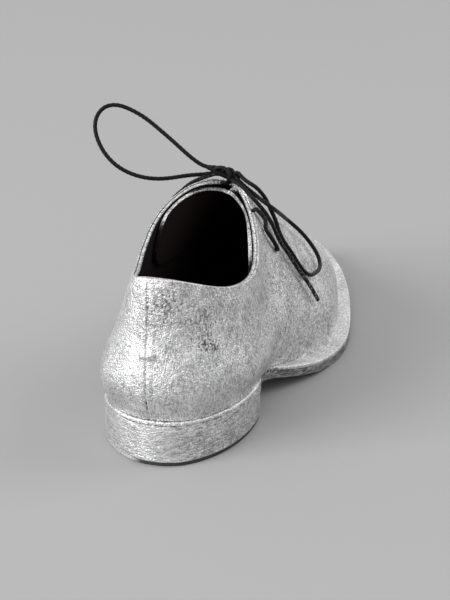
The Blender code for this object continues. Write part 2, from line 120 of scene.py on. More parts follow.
class Look:
    """A Principled material whose nodes are written as expressions."""

    def __init__(self, name, fixed):
        self.material = bpy.data.materials.new(name)
        self.material.use_nodes = True
        self.tree = self.material.node_tree
        self.shader = self.tree.nodes["Principled BSDF"]
        for socket, value in fixed.items():
            self.shader.inputs[socket].default_value = value

    def node(self, kind, settings, sockets, output=0):
        made = self.tree.nodes.new("ShaderNode" + kind)
        for name, value in settings.items():
            setattr(made, name, value)
        for name, value in sockets.items():
            self.join(value, made.inputs[name])
        return Value(self, made.outputs[output])

    def join(self, value, socket):
        if isinstance(value, Value):
            self.tree.links.new(value.socket, socket)
        else:
            socket.default_value = value

    def finish(self, **sockets):
        for name, value in sockets.items():
            self.join(value, self.shader.inputs[name.replace("_", " ")])
        return self.material

    def cloud(self, size, stretch=(1, 1, 1), detail=3.0, twirl=0.0):
        """Noise from 0 to 1 whose clouds are about that many millimetres across."""
        place = self.node("TexCoord", {}, {}, "Object")
        scale = tuple(1 / (size * MM * share) for share in stretch)
        scaled = self.node("VectorMath", {"operation": "MULTIPLY"}, {0: place, 1: scale})
        sockets = {"Vector": scaled, "Scale": 1.0, "Detail": detail, "Distortion": twirl}
        return self.node("TexNoise", {}, sockets)

    def ramp(self, value, low, high):
        """0 below low, 1 above high, and smooth between."""
        ends = {"Value": value, "From Min": low, "From Max": high}
        return self.node("MapRange", {"interpolation_type": "SMOOTHSTEP"}, ends)

    def mix(self, share, first, second):
        return self.node("Mix", {"data_type": "RGBA"}, {0: share, 6: first, 7: second}, 2)

    def mask(self, name):
        """A value that the mesh holds for each of its points."""
        return self.node("Attribute", {"attribute_name": name}, {}, "Fac")

    def bump(self, height, depth, under=None):
        """Normal of a relief that deep, in millimetres, on top of another."""
        sockets = {"Height": height, "Distance": depth * MM, "Strength": 1.0}
        if under is not None:
            sockets["Normal"] = under
        return self.node("Bump", {}, sockets, "Normal")


floor_look = Look("floor_paint", {"Roughness": FLOOR_ROUGH})
floor_tone = floor_look.cloud(FLOOR_CLOUD) * FLOOR_MOTTLE
floor_color = floor_look.mix(floor_tone, FLOOR_GREY, FLOOR_PALE)
floor_mesh = bpy.data.meshes.new("floor")
floor_corners = [(x * FLOOR_HALF, y * FLOOR_HALF, 0) for x, y in ((-1, -1), (1, -1), (1, 1), (-1, 1))]
floor_mesh.from_pydata(floor_corners, [], [(0, 1, 2, 3)])
floor_mesh.materials.append(floor_look.finish(Base_Color=floor_color))
floor = bpy.data.objects.new("floor", floor_mesh)
scene.collection.objects.link(floor)

# Insole
# A dark brown leather board inside the welt, on which the foot stands. It is cut to the foot of the last,
# and the tables below describe that last, on which every other piece is shaped.
LAST_PLACE = np.array((2.66, -141.82, 0.0))
SIDES = ("lat", "med")
OUTWARD = {"lat": 1.0, "med": -1.0}
GAP = 0.3
OUTSOLE = 4.0
INSOLE = 3.0
INSOLE_ROUND = 0.8
INSOLE_SWELL = 0.5
INSOLE_WAVE = 43.0
INSOLE_COUNT = 120
INSOLE_RUB = 26.0
INSOLE_DEEP = (0.005, 0.003, 0.003, 1)
INSOLE_WORN = (0.018, 0.011, 0.009, 1)
LEATHER_GRAIN = 0.9
LEATHER_GRAIN_DEPTH = 0.15
LEATHER_ROUGH = 0.75
RUBBED_RAMP = (0.45, 0.7)
PLATE_CORNER = 50
CORNER_ROWS = 5
WELT_UNDER_UPPER = 2.4
Edge = namedtuple("Edge", "y lat med")
SOLE_EDGE = (
    Edge(0.0, -1.0, -1.0),
    Edge(2.0, 10.0, -11.5),
    Edge(10.0, 20.0, -23.5),
    Edge(24.0, 28.0, -33.5),
    Edge(42.0, 32.5, -36.0),
    Edge(67.0, 32.0, -34.5),
    Edge(88.0, 30.0, -31.0),
    Edge(104.0, 34.5, -30.5),
    Edge(120.0, 41.5, -32.0),
    Edge(138.0, 46.0, -36.0),
    Edge(156.0, 48.0, -41.5),
    Edge(180.0, 45.0, -49.0),
    Edge(206.0, 38.0, -53.0),
    Edge(232.0, 29.0, -52.5),
    Edge(256.0, 17.0, -47.5),
    Edge(272.0, 4.5, -40.0),
    Edge(282.5, -8.5, -30.0),
    Edge(286.0, -18.0, -18.0),
)
Under = namedtuple("Under", "y z")
UNDERSIDE = (
    Under(0.0, 16.9),
    Under(40.0, 15.0),
    Under(66.0, 14.0),
    Under(90.0, 10.5),
    Under(112.0, 5.2),
    Under(132.0, 1.3),
    Under(150.0, 0.0),
    Under(205.0, 0.0),
    Under(230.0, 1.2),
    Under(260.0, 5.5),
    Under(288.0, 12.0),
)
Section = namedtuple(
    "Section",
    "y lat med top_y_lat top_y_med top_lat top_med top_z_lat top_z_med arch swell full_lat full_med",
)
SECTIONS = (
    Section(4.5, -1.0, -1.0, 6.0, 6.0, -1.0, -1.0, 94.5, 94.5, 0.0, 4.0, 2.0, 2.0),
    Section(9.0, 13.5, -17.0, 9.0, 9.5, 9.5, -8.2, 93.3, 92.4, 0.0, 4.2, 2.0, 2.0),
    Section(24.0, 24.0, -29.0, 24.0, 25.0, 18.5, -14.6, 86.0, 87.4, 0.0, 4.2, 2.0, 2.0),
    Section(46.0, 28.5, -32.0, 47.0, 47.0, 23.5, -22.4, 78.0, 82.5, 0.0, 4.0, 2.0, 2.0),
    Section(70.0, 28.0, -30.5, 71.0, 70.0, 24.2, -28.5, 75.2, 84.7, 0.05, 4.0, 2.0, 2.0),
    Section(92.0, 26.0, -28.5, 91.0, 92.0, 19.6, -29.7, 79.5, 92.6, 0.25, 4.0, 1.9, 2.0),
    Section(110.0, 29.0, -27.5, 110.0, 109.0, 11.3, -25.6, 87.5, 98.1, 0.5, 3.5, 1.7, 2.0),
    Section(126.0, 33.0, -29.0, 127.0, 124.0, 0.2, -16.7, 94.6, 100.3, 0.8, 2.5, 1.55, 2.0),
    Section(138.0, 35.5, -32.0, 134.0, 134.0, -7.0, -7.0, 97.5, 97.5, 0.95, 2.0, 1.5, 2.0),
    Section(154.0, 37.5, -37.0, 150.0, 150.0, -9.0, -9.0, 87.0, 87.0, 1.0, 1.5, 1.5, 2.1),
    Section(174.0, 36.5, -43.0, 171.0, 171.0, -11.0, -11.0, 74.0, 74.0, 1.0, 1.2, 1.6, 2.1),
    Section(198.0, 31.0, -47.0, 194.0, 194.0, -13.0, -13.0, 62.5, 62.5, 1.0, 1.0, 1.7, 2.1),
    Section(222.0, 23.5, -46.5, 216.0, 216.0, -15.0, -15.0, 50.0, 50.0, 1.0, 0.8, 1.75, 2.0),
    Section(246.0, 13.0, -42.0, 237.0, 237.0, -16.5, -16.5, 38.0, 38.0, 1.0, 0.6, 1.75, 2.0),
    Section(264.0, 0.0, -34.5, 251.0, 251.0, -17.5, -17.5, 31.5, 31.5, 1.0, 0.5, 1.8, 2.0),
    Section(273.0, -9.5, -26.5, 257.5, 257.5, -18.0, -18.0, 28.5, 28.5, 1.0, 0.5, 1.9, 2.0),
    Section(276.0, -18.0, -18.0, 259.0, 259.0, -18.0, -18.0, 27.5, 27.5, 1.0, 0.5, 1.9, 1.9),
)
ENDS_FREE = ("lat", "med", "top_lat", "top_med")
TINY = 1e-12


def metres(points):
    return (np.asarray(points, float) + LAST_PLACE) * MM


def smooth(xs, values, flat_ends):
    """Cubic through the points with continuous curvature; its end slopes are zero if flat_ends."""
    x = np.array(xs, float)
    v = np.array(values, float)
    n = len(x)
    h = np.diff(x)
    matrix = np.zeros((n, n))
    right = np.zeros(n)
    for i in range(1, n - 1):
        matrix[i, i - 1:i + 2] = h[i - 1], 2 * (h[i - 1] + h[i]), h[i]
        right[i] = 6 * ((v[i + 1] - v[i]) / h[i] - (v[i] - v[i - 1]) / h[i - 1])
    matrix[0, 0] = 1
    matrix[-1, -1] = 1
    if flat_ends:
        matrix[0, :2] = 2 * h[0], h[0]
        right[0] = 6 * (v[1] - v[0]) / h[0]
        matrix[-1, -2:] = h[-1], 2 * h[-1]
        right[-1] = -6 * (v[-1] - v[-2]) / h[-1]
    bend = np.linalg.solve(matrix, right)

    def at(q):
        q = np.clip(np.asarray(q, float), x[0], x[-1])
        i = np.clip(np.searchsorted(x, q, side="right") - 1, 0, n - 2)
        a = (x[i + 1] - q) / h[i]
        b = (q - x[i]) / h[i]
        bow = ((a**3 - a) * bend[i] + (b**3 - b) * bend[i + 1]) * h[i]**2 / 6
        return a * v[i] + b * v[i + 1] + bow

    return at


def add_piece(name, points, faces, looks, stands_for=(), masks=None, sharp=None):
    """A mesh piece that rides on the shoe; points in the last's millimetres."""
    mesh = bpy.data.meshes.new(name)
    mesh.from_pydata(metres(points).tolist(), [], faces)
    for look in looks:
        mesh.materials.append(look)
    for mask, values in (masks or {}).items():
        held = mesh.attributes.new(mask, "FLOAT", "POINT")
        held.data.foreach_set("value", np.asarray(values, np.float32).ravel())
    mesh.shade_smooth()
    if sharp is not None:
        mesh.set_sharp_from_angle(angle=math.radians(sharp))
    obj = bpy.data.objects.new(name, mesh)
    scene.collection.objects.link(obj)
    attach(obj, "root")
    if stands_for:
        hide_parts(*stands_for)
    return obj


def steady(xs, values):
    """Cubic through the points that never overshoots, so that flat stretches stay flat."""
    x = np.array(xs, float)
    v = np.array(values, float)
    h = np.diff(x)
    rise = np.diff(v) / h
    slope = np.zeros_like(v)
    same = rise[:-1] * rise[1:] > 0
    slope[1:-1] = np.where(same, 2 * rise[:-1] * rise[1:] / np.where(same, rise[:-1] + rise[1:], 1), 0)
    slope[0] = rise[0]
    slope[-1] = rise[-1]

    def at(q):
        q = np.clip(np.asarray(q, float), x[0], x[-1])
        i = np.clip(np.searchsorted(x, q, side="right") - 1, 0, len(h) - 1)
        t = (q - x[i]) / h[i]
        start = (1 + 2 * t) * (1 - t)**2 * v[i] + t * (1 - t)**2 * h[i] * slope[i]
        return start + t * t * (3 - 2 * t) * v[i + 1] + t * t * (t - 1) * h[i] * slope[i + 1]

    return at


def station(y, table):
    """Place along one side, 0 at the back and 1 at the toe, rounded at both ends."""
    share = (np.asarray(y, float) - table[0].y) / (table[-1].y - table[0].y)
    return np.arccos(np.clip(1 - 2 * share, -1, 1)) / np.pi


def station_y(p, table):
    return table[0].y + (table[-1].y - table[0].y) * (1 - np.cos(np.pi * p)) / 2


def column(table, name):
    stations = station([row.y for row in table], table)
    return smooth(stations, [getattr(row, name) for row in table], name not in ENDS_FREE)


underside = steady([row.y for row in UNDERSIDE], [row.z for row in UNDERSIDE])
last_columns = {name: column(SECTIONS, name) for name in Section._fields}


def outsole_top(y):
    return underside(y) + OUTSOLE


def side_normal(edge, table, p, side):
    """Outward direction in plan along one side of an outline."""
    step = 1e-4
    before = np.clip(p - step, 0, 1)
    after = np.clip(p + step, 0, 1)
    dx = edge(after) - edge(before)
    dy = station_y(after, table) - station_y(before, table)
    length = np.hypot(dx, dy) + TINY
    return OUTWARD[side] * dy / length, -OUTWARD[side] * dx / length


def last_outline(p, side, inset):
    edge = last_columns[side]
    nx, ny = side_normal(edge, SECTIONS, p, side)
    return edge(p) - nx * inset, station_y(p, SECTIONS) - ny * inset


def plan_ring(outline, stations, inset, open_front=False):
    """Outline in plan, out along the outer side and back along the inner one."""
    lat = np.stack(outline(stations, "lat", inset), -1)
    med = np.stack(outline(stations, "med", inset), -1)
    return np.concatenate([lat, med[::-1][0 if open_front else 1:-1]])


def between_rings(low, high, count):
    """Quads between two rings of points, each named by its first point."""
    faces = []
    for i in range(count):
        j = (i + 1) % count
        faces.append((low + i, low + j, high + j, high + i))
    return faces


def plate(stations, outline, levels, open_front=False):
    """Points and faces of a plate; levels are its (inset by station, height by y) from below to above."""
    rings = []
    for inset, height in levels:
        ring = plan_ring(outline, stations, inset(stations), open_front)
        rings.append(np.column_stack([ring, height(ring[:, 1])]))
    count = len(rings[0])
    faces = []
    for k in range(len(levels) - 1):
        faces += between_rings(k * count, (k + 1) * count, count)
    for base, step in ((0, -1), ((len(levels) - 1) * count, 1)):
        for i in range(len(stations) - 1):
            around = (i, i + 1, (count - i - 1) % count, (count - i) % count)
            faces.append(tuple(dict.fromkeys(base + k for k in around[::step])))
    return np.concatenate(rings), faces


def even(size):
    """The same height or radius all along."""
    return lambda y: size + 0 * y


def rounded_side(low, high, radius, between=0):
    """Levels of an upright side between two heights by y, its corners rounded by a radius by y."""
    levels = []

    def add_level(share, height):
        levels.append((lambda p: share * radius(station_y(p, SOLE_EDGE)), height))

    for angle in np.linspace(0, math.pi / 2, CORNER_ROWS):
        add_level(1 - math.sin(angle), lambda y, t=1 - math.cos(angle): low(y) + t * radius(y))
    for share in np.linspace(0, 1, between + 2)[1:-1]:
        add_level(0.0, lambda y, t=share: (1 - t) * (low(y) + radius(y)) + t * (high(y) - radius(y)))
    for angle in np.linspace(0, math.pi / 2, CORNER_ROWS):
        add_level(1 - math.cos(angle), lambda y, t=1 - math.sin(angle): high(y) - t * radius(y))
    return levels


def dark_leather(name, deep, worn, rub):
    """Near-black leather: rubbed paler patches of about that size, fine grain."""
    look = Look(name, {"Specular IOR Level": 0.2})
    rubbed = look.ramp(look.cloud(rub), *RUBBED_RAMP)
    grain = look.cloud(LEATHER_GRAIN, detail=4.0)
    return look.finish(
        Base_Color=look.mix(rubbed * 0.6 + grain * 0.3, deep, worn),
        Roughness=LEATHER_ROUGH - 0.2 * rubbed,
        Normal=look.bump(grain, LEATHER_GRAIN_DEPTH),
    )


insole_points, insole_faces = plate(
    np.linspace(0, 1, INSOLE_COUNT),
    lambda p, side, inset: last_outline(p, side, WELT_UNDER_UPPER + GAP + inset),
    rounded_side(
        lambda y: outsole_top(y) + GAP,
        lambda y: outsole_top(y) + GAP + INSOLE + INSOLE_SWELL * np.sin(y / INSOLE_WAVE),
        even(INSOLE_ROUND),
    ),
)
add_piece(
    "insole_board",
    insole_points,
    insole_faces,
    [dark_leather("insole_leather", INSOLE_DEEP, INSOLE_WORN, INSOLE_RUB)],
    ["insole"],
    sharp=PLATE_CORNER,
)

# Vamp
# The front of the upper: one piece of calf leather pulled over the toe, with a lining pasted inside.
# It runs back under the quarters. The silver paint was brushed on slantwise, thin enough to look grey.
QuarterEdge = namedtuple("QuarterEdge", "v y")
QUARTER_EDGE = (
    QuarterEdge(0.0, 95.0),
    QuarterEdge(0.08, 101.5),
    QuarterEdge(0.2, 110.0),
    QuarterEdge(0.3, 120.0),
    QuarterEdge(0.345, 129.0),
    QuarterEdge(0.37, 134.5),
    QuarterEdge(0.42, 133.0),
    QuarterEdge(0.52, 128.5),
    QuarterEdge(0.64, 127.0),
    QuarterEdge(0.8, 134.0),
    QuarterEdge(1.0, 153.0),
)
WELT = 2.2
VAMP_WALL = 1.8
QUARTER_WALL = 3.0
WALL_LEAN = 1.7
BELLY_PEAK = 90.0
BELLY_FADE = 6
RIDGE_FALL = -0.42
RIDGE_FALL_START = 0.72
RIDGE_FALL_REACH = 0.2
UNDER_QUARTERS = 0.035
VAMP_COLUMNS = 130
VAMP_ROWS = 80
VAMP_PULL = (0.4, 0.3)
JOIN_DIGITS = 3
SKIN_CORNER = 60
Crease = namedtuple("Crease", "x y z run_x run_y width length depth")
VAMP_CREASES = (
    Crease(6.0, 172.0, 66.0, 0.9, -0.43, 4.5, 26.0, 0.55),
    Crease(2.0, 186.0, 60.0, 0.92, -0.38, 5.0, 24.0, 0.45),
    Crease(-22.0, 178.0, 62.0, 0.95, 0.3, 4.5, 24.0, 0.5),
    Crease(-26.0, 192.0, 54.0, 0.95, 0.3, 5.0, 22.0, 0.4),
)
RIPPLE_SHIFT = (7.3, 3.1, 5.7)
Wave = namedtuple("Wave", "size height seed")
VAMP_SWELL = Wave(22.0, 0.18, 1)
VAMP_RUBS = Wave(18.0, 0.35, 2)
PALE_SILVER = (0.95, 0.95, 0.95, 1)
GREY_SILVER = (0.3, 0.302, 0.305, 1)
VAMP_STREAK = (0.6, 2.4, 1.2)
VAMP_RELIEF = 1.0
VAMP_BRUSH = 0.35
PAINT_METAL = 0.9
FLAKE = 0.8
BRISTLE = 1.1
CRUST = 2.2
BLOTCH = 11.0
SPECK = 1.2
PIT = 0.65
FLAKE_SHARE = 0.7
CRUST_SHARE = 0.18
BLOTCH_SHARE = 0.2
HALF_COVER = 0.53
COVER_RAMP = (0.37, 0.69)
SPECK_RAMP = (0.65, 0.71)
THIN_RAMP = (0.9, 1.15)
PIT_RAMP = (0.52, 0.62)
FLAKE_DEPTH = 0.42
CRUST_DEPTH = 0.4
PAINT_ROUGH = 0.34
PIT_GREY = (0.2, 0.2, 0.2, 1)
RUBBED_GREY = (0.16, 0.16, 0.16, 1)
SPECK_BLACK = (0.03, 0.03, 0.03, 1)
LINING_DEEP = (0.003, 0.002, 0.002, 1)
LINING_WORN = (0.010, 0.006, 0.005, 1)
LINING_RUB = 14.0
quarter_edge = steady(
    [row.v for row in QUARTER_EDGE],
    station([row.y for row in QUARTER_EDGE], SECTIONS),
)


def share_past(value, start, reach):
    """From 0 at start to 1 at start + reach, straight between and level outside."""
    return np.clip((value - start) / reach, 0, 1)


def eased(share):
    return share * share * (3 - 2 * share)


def welt_top(y):
    return outsole_top(y) + GAP + WELT


def last_point(p, v, side):
    """Inner face of the upper: p along the side, v from its foot to its top."""
    p, v = np.broadcast_arrays(np.asarray(p, float), np.asarray(v, float))
    get = last_columns
    x = get[side](p)
    y = station_y(p, SECTIONS)
    nx, ny = side_normal(get[side], SECTIONS, p, side)
    z = np.maximum(welt_top(y), welt_top(y + ny * QUARTER_WALL)) + GAP
    arch = np.clip(get["arch"](p), 0, 1)
    power = 2 / get["full_" + side](p)
    turn = v * np.pi / 2
    inward = (1 - arch) * v**WALL_LEAN + arch * (1 - np.cos(turn)**power)
    upward = (1 - arch) * v + arch * np.sin(turn)**power
    belly = get["swell"](p) * BELLY_PEAK * v**2 * (1 - v)**BELLY_FADE
    ahead = (y - get["top_y_" + side](p)) * (1 - inward)
    fall = RIDGE_FALL * eased(share_past(p, RIDGE_FALL_START, RIDGE_FALL_REACH))
    top_z = get["top_z_" + side](p) + fall * ahead
    return np.stack(
        [
            x + (get["top_" + side](p) - x) * inward + nx * belly,
            y - (y - get["top_y_" + side](p)) * inward + ny * belly,
            z + (top_z - z) * upward,
        ],
        -1,
    )


def gathered(count, pull):
    """Shares from 0 to 1, closer together at both ends."""
    t = np.linspace(0, 1, count)
    return t - pull * np.sin(2 * math.pi * t) / (2 * math.pi)


def gathered_grid(columns, rows, pull):
    """Shares along and up a panel, closer together at its edges."""
    along = gathered(columns, pull[0])
    return np.meshgrid(along, gathered(rows, pull[1]), indexing="ij")


def grid_faces(columns, rows, turned):
    """Quads of a grid whose points run row by row inside each column."""
    faces = []
    for i in range(columns - 1):
        for j in range(rows - 1):
            k = i * rows + j
            face = (k, k + rows, k + rows + 1, k + 1)
            faces.append(face[::-1] if turned else face)
    return faces


def joined_halves(grids):
    """One surface from a grid for each side, joined where they meet, and which points were kept."""
    points = np.concatenate([grid.reshape(-1, 3) for grid in grids.values()])
    _, kept, where = np.unique(np.round(points, JOIN_DIGITS), axis=0, return_index=True, return_inverse=True)
    where = where.ravel()
    faces = []
    shift = 0
    for side, grid in grids.items():
        columns, rows = grid.shape[:2]
        for face in grid_faces(columns, rows, side == "med"):
            face = tuple(dict.fromkeys(int(where[k + shift]) for k in face))
            if len(face) > 2:
                faces.append(face)
        shift += columns * rows
    return points[kept], faces, kept


def surface_normals(points, faces):
    mesh = bpy.data.meshes.new("skin")
    mesh.from_pydata(points.tolist(), [], faces)
    mesh.update()
    normals = np.empty(len(points) * 3)
    mesh.vertices.foreach_get("normal", normals)
    bpy.data.meshes.remove(mesh)
    return normals.reshape(-1, 3)


def skin(points, faces, low, high):
    """Closed leather between two distances from a surface, each a number or one for every point."""
    normals = surface_normals(points, faces)
    low = np.broadcast_to(np.asarray(low, float), len(points))
    high = np.broadcast_to(np.asarray(high, float), len(points))
    count = len(points)
    both = np.concatenate([points + normals * high[:, None], points + normals * low[:, None]])
    directed = {(a, b) for face in faces for a, b in zip(face, face[1:] + face[:1])}
    rim = [(b, a, a + count, b + count) for a, b in sorted(directed) if (b, a) not in directed]
    inside = [tuple(k + count for k in face[::-1]) for face in faces]
    return both, list(faces), rim, inside


def add_skin(name, points, faces, low, high, looks, stands_for=(), masks=None, rim_look=0):
    """A leather piece: the first look outside, the second inside, and either on its rim."""
    both, outside, rim, inside = skin(points, faces, low, high)
    masks = {mask: np.resize(values, len(both)) for mask, values in (masks or {}).items()}
    obj = add_piece(name, both, outside + rim + inside, looks, stands_for, masks, SKIN_CORNER)
    indices = np.repeat([0, rim_look, 1], [len(outside), len(rim), len(inside)]).astype(np.int32)
    obj.data.polygons.foreach_set("material_index", indices)


def paint_coat(look, bright, dark, streak, relief, brush):
    """Colour, roughness and relief of brushed silver paint: flakes, streaks, crust, pits, worn places and
    painted shade.
    """
    flake = look.cloud(FLAKE)
    brushed = look.cloud(BRISTLE, stretch=streak, twirl=0.6)
    crust = look.cloud(CRUST, detail=4.0, twirl=0.8)
    blotch = look.cloud(BLOTCH)
    mixed = (FLAKE_SHARE - brush) * flake + brush * brushed + CRUST_SHARE * crust + BLOTCH_SHARE * blotch
    # The grain mask raises the flake contrast and adds dark pits: partly pitted paint, partly painted glints
    # and relief shade.
    grain = look.mask("grain")
    cover = look.ramp(HALF_COVER + (mixed - HALF_COVER) * (1 + 0.8 * grain), *COVER_RAMP)
    # The worn mask darkens with specks and thinned paint: real wear, and also painted shade
    # in the lace holes, along the foot of the quarters and at the outer waist of the welt.
    worn = look.mask("worn")
    speck = look.ramp(look.cloud(SPECK, detail=2.0) + 0.17 * worn, *SPECK_RAMP)
    thin = look.ramp(0.45 * worn + crust, *THIN_RAMP)
    pits = look.ramp(look.cloud(PIT, detail=1.0), *PIT_RAMP) * (0.1 + 0.6 * grain)
    painted = look.mix(pits, look.mix(cover, dark, bright), PIT_GREY)
    rubbed = look.mix(thin * 0.5, painted, RUBBED_GREY)
    color = look.mix(speck * (0.12 + 0.7 * worn), rubbed, SPECK_BLACK)
    rough = PAINT_ROUGH + 0.16 * (1 - cover) + 0.2 * thin
    coarse = look.bump(crust, CRUST_DEPTH * relief)
    return color, rough, look.bump(flake + 0.6 * brushed, FLAKE_DEPTH * relief, coarse)


def silver_paint(name, bright, dark, streak, relief, brush):
    look = Look(name, {"Metallic": PAINT_METAL, "Specular IOR Level": 0.5})
    color, rough, normal = paint_coat(look, bright, dark, streak, relief, brush)
    return look.finish(Base_Color=color, Roughness=rough, Normal=normal)


def creased(points, creases):
    """Soft troughs, each with a low ridge on either side, where the leather has folded."""
    depth = np.zeros(len(points))
    for crease in creases:
        off = points - np.array((crease.x, crease.y, crease.z))
        run = off[:, 0] * crease.run_x + off[:, 1] * crease.run_y
        across = (off[:, 1] * crease.run_x - off[:, 0] * crease.run_y) / crease.width
        near = np.exp(-(run / crease.length)**4)
        depth += crease.depth * near * (0.5 * across**2 - 1) * np.exp(-across**2)
    return depth


def ripple(points, size, seed):
    """Smooth unevenness from -1 to 1, in waves about that many millimetres long."""
    shift = Vector([seed * part for part in RIPPLE_SHIFT])
    return np.array([noise.noise(Vector(point) / size + shift) for point in points])


def waves(points, wave):
    return wave.height * ripple(points, wave.size, wave.seed)


LINING_LOOK = dark_leather("lining_leather", LINING_DEEP, LINING_WORN, LINING_RUB)
VAMP_LOOK = silver_paint("vamp_silver", PALE_SILVER, GREY_SILVER, VAMP_STREAK, VAMP_RELIEF, VAMP_BRUSH)
along_shares, up_shares = gathered_grid(VAMP_COLUMNS, VAMP_ROWS, VAMP_PULL)
vamp_edge = quarter_edge(up_shares) - UNDER_QUARTERS
vamp_stations = vamp_edge + (1 - vamp_edge) * along_shares
vamp_halves = {side: last_point(vamp_stations, up_shares, side) for side in SIDES}
for half in vamp_halves.values():
    half[:, -1] = last_point(vamp_stations[:, -1], 1.0, "lat")
    half[-1] = last_point(1.0, up_shares[-1], "lat")
vamp_points, vamp_faces, _ = joined_halves(vamp_halves)
vamp_masks = {
    "worn": np.clip(waves(vamp_points, VAMP_RUBS), 0, 1),
    # Full flake contrast and dark pits all over: partly pitted paint, partly painted glints and relief
    # shade.
    "grain": np.ones(len(vamp_points)),
}
add_skin(
    "vamp",
    vamp_points,
    vamp_faces,
    0.0,
    VAMP_WALL + creased(vamp_points, VAMP_CREASES) + waves(vamp_points, VAMP_SWELL),
    [VAMP_LOOK, LINING_LOOK],
    ["upper"],
    vamp_masks,
)

# Quarters and their lining
# Two pieces of calf leather, closed at the back in one upright seam with a small tack across it, and laid
# over the vamp in front, where each has its punched lace holes. Heavy silver paint, blistered by the heel.
COLLAR_FRONT_Y = 138.0
SLIT_SHARE = 0.032
SLIT_REACH = 0.05
QUARTER_COLUMNS = 170
QUARTER_ROWS = 110
QUARTER_PULL = (0.6, 0.5)
QUARTER_LEATHER = 0.95
QUARTER_STREAK = (0.7, 0.7, 2.4)
QUARTER_RELIEF = 1.25
QUARTER_BRUSH = 0.4
LINING_COLUMNS = 90
LINING_ROWS = 60
LINING_DROP = 0.004
LINING_LAP = 0.004
LINING_PROUD = 0.06
LINING_PAINT = (1.0, 0.3)
OVERRUN_LEATHER = ((0.002, 0.001, 0.001, 1), (0.008, 0.004, 0.003, 1))
OVERRUN_SILVER = ((0.25, 0.25, 0.255, 1), PALE_SILVER)
OVERRUN_CLOUD = 2.0
OVERRUN_RAMP = (0.4, 0.95)
OVERRUN_FLAKES = (0.35, 0.65)
OVERRUN_METAL = 0.7
OVERRUN_ROUGH = 0.7
OVERRUN_DEPTH = 0.25
QUARTER_SWELL = Wave(26.0, 0.3, 3)
BLISTERS = Wave(5.5, 0.24, 4)
PAINT_LUMPS = Wave(2.6, 0.12, 5)
BLISTER_FOOT_Z = 40.0
BLISTER_RISE = 20.0
BLISTER_FRONT_Y = 95.0
BLISTER_FADE = 60.0
SEAM_WIDTH = 0.55
SEAM_DEPTH = 0.6
SEAM_RIDGE = 0.8
SEAM_RIDGE_REACH = 6.0
SEAM_LIP = 0.22
SEAM_LIP_AWAY = 2.0
SEAM_LIP_WIDTH = 1.2
TACK_Z = 56.4
TACK_HALF_WIDTH = 4.0
TACK_HALF_HEIGHT = 1.5
TACK_SLOPE = 1.6
TACK_LIFT = 1.3
CALM_EDGE = 4.0
RIM_ROUND = 0.6
FRONT_SKIVE = 0.55
SKIVE_WIDTH = 4.0
WearAndShadeLine = namedtuple("WearAndShadeLine", "width worn dash base seed")
RIM_RUB = WearAndShadeLine(1.6, 0.45, 4.0, 0.6, 7)
SEAM_RUB = WearAndShadeLine(0.5, 0.85, 4.0, 0.25, 6)
# Painted shade: a dark line along the foot of the quarter for the gaps between the upper and the welt.
FOOT_GAP_SHADE = WearAndShadeLine(0.6, 1.3, 5.0, 0.45, 8)
LOW_SEAM_Z = 52.0
LOW_SEAM_FADE = 12.0
LOW_SEAM_WORN = 0.8
LOW_SEAM_DASH = 0.2
MOST_WORN = 1.5
PITS_AND_GLINTS_START_Y = 12.0
PITS_AND_GLINTS_REACH = 30.0
HOLE_RADIUS = 1.3
HOLE_SLOPE = 0.6
HOLE_DEPTH = 0.9
HOLE_SHADE = 3.0
HOLES = {
    "lat": ((22.2, 119.9, 70.7), (16.8, 115.3, 82.7)),
    "med": ((-30.4, 115.3, 77.4), (-31.0, 111.4, 88.4)),
}
FRONT_STATION = float(station(COLLAR_FRONT_Y, SECTIONS))
Patch = namedtuple("Patch", "x y z size worn")
WORN_PATCHES = (
    Patch(22.2, 14.7, 59.8, 5.0, 0.95),
    Patch(25.0, 21.0, 56.5, 4.0, 0.9),
    Patch(21.1, 18.1, 76.1, 8.0, 0.5),
    Patch(18.7, 11.7, 68.1, 8.0, 0.45),
    Patch(24.1, 24.0, 69.3, 8.0, 0.45),
    Patch(5.5, 3.2, 79.0, 11.0, 0.6),
    Patch(10.5, 5.5, 86.0, 9.0, 0.45),
    Patch(28.6, 38.4, 58.9, 10.0, 0.3),
    Patch(33.0, 110.0, 40.0, 16.0, 0.3),
    Patch(32.8, 124.9, 43.5, 1.2, 1.2),
    Patch(-17.0, 7.5, 62.0, 4.0, 0.4),
)


def slit(p):
    """Share of the wall left open beside the ridge between the two facings."""
    return SLIT_SHARE * eased(share_past(p, FRONT_STATION - SLIT_REACH, SLIT_REACH))


def quarter_grid(side, columns, rows, short):
    """Wall between the back seam and the quarter's front edge; short takes off its rim and front."""
    s, t = gathered_grid(columns, rows, QUARTER_PULL)
    p = s * (quarter_edge(t) - short)
    v = t * (1 - slit(p) - (LINING_DROP if short else 0.0))
    return last_point(p, v, side)


def from_end(grid, axis):
    """Distance of each point of a grid from its last row or column, along the other."""
    steps = np.linalg.norm(np.diff(grid, axis=axis), axis=2)
    back = np.flip(np.cumsum(np.flip(steps, axis), axis), axis)
    zero = np.zeros_like(np.take(back, [0], axis))
    return np.concatenate([back, zero], axis).ravel()


def from_start(grid, axis):
    """Distance of each point of a grid from its first row or column, along the other."""
    distance = from_end(np.flip(grid, axis), axis).reshape(grid.shape[:2])
    return np.flip(distance, axis).ravel()


def rounding(distance, radius):
    """How far a rounded edge falls back, that far in from it."""
    inside = np.clip(1 - distance / radius, 0, 1)
    return radius * (1 - np.sqrt(1 - inside**2))


def bell(away, width):
    """1 in the middle, fading to nothing at about twice that width."""
    return np.exp(-(away / width)**2)


def wear_and_shade_line(points, away, rub):
    """Darkening along a line, broken into dashes: wear at the rim and seam, painted shade along the foot;
    away is the distance from that line.
    """
    dashes = np.clip(ripple(points, rub.dash, rub.seed) + rub.base, 0, 1)
    return rub.worn * bell(away, rub.width) * dashes


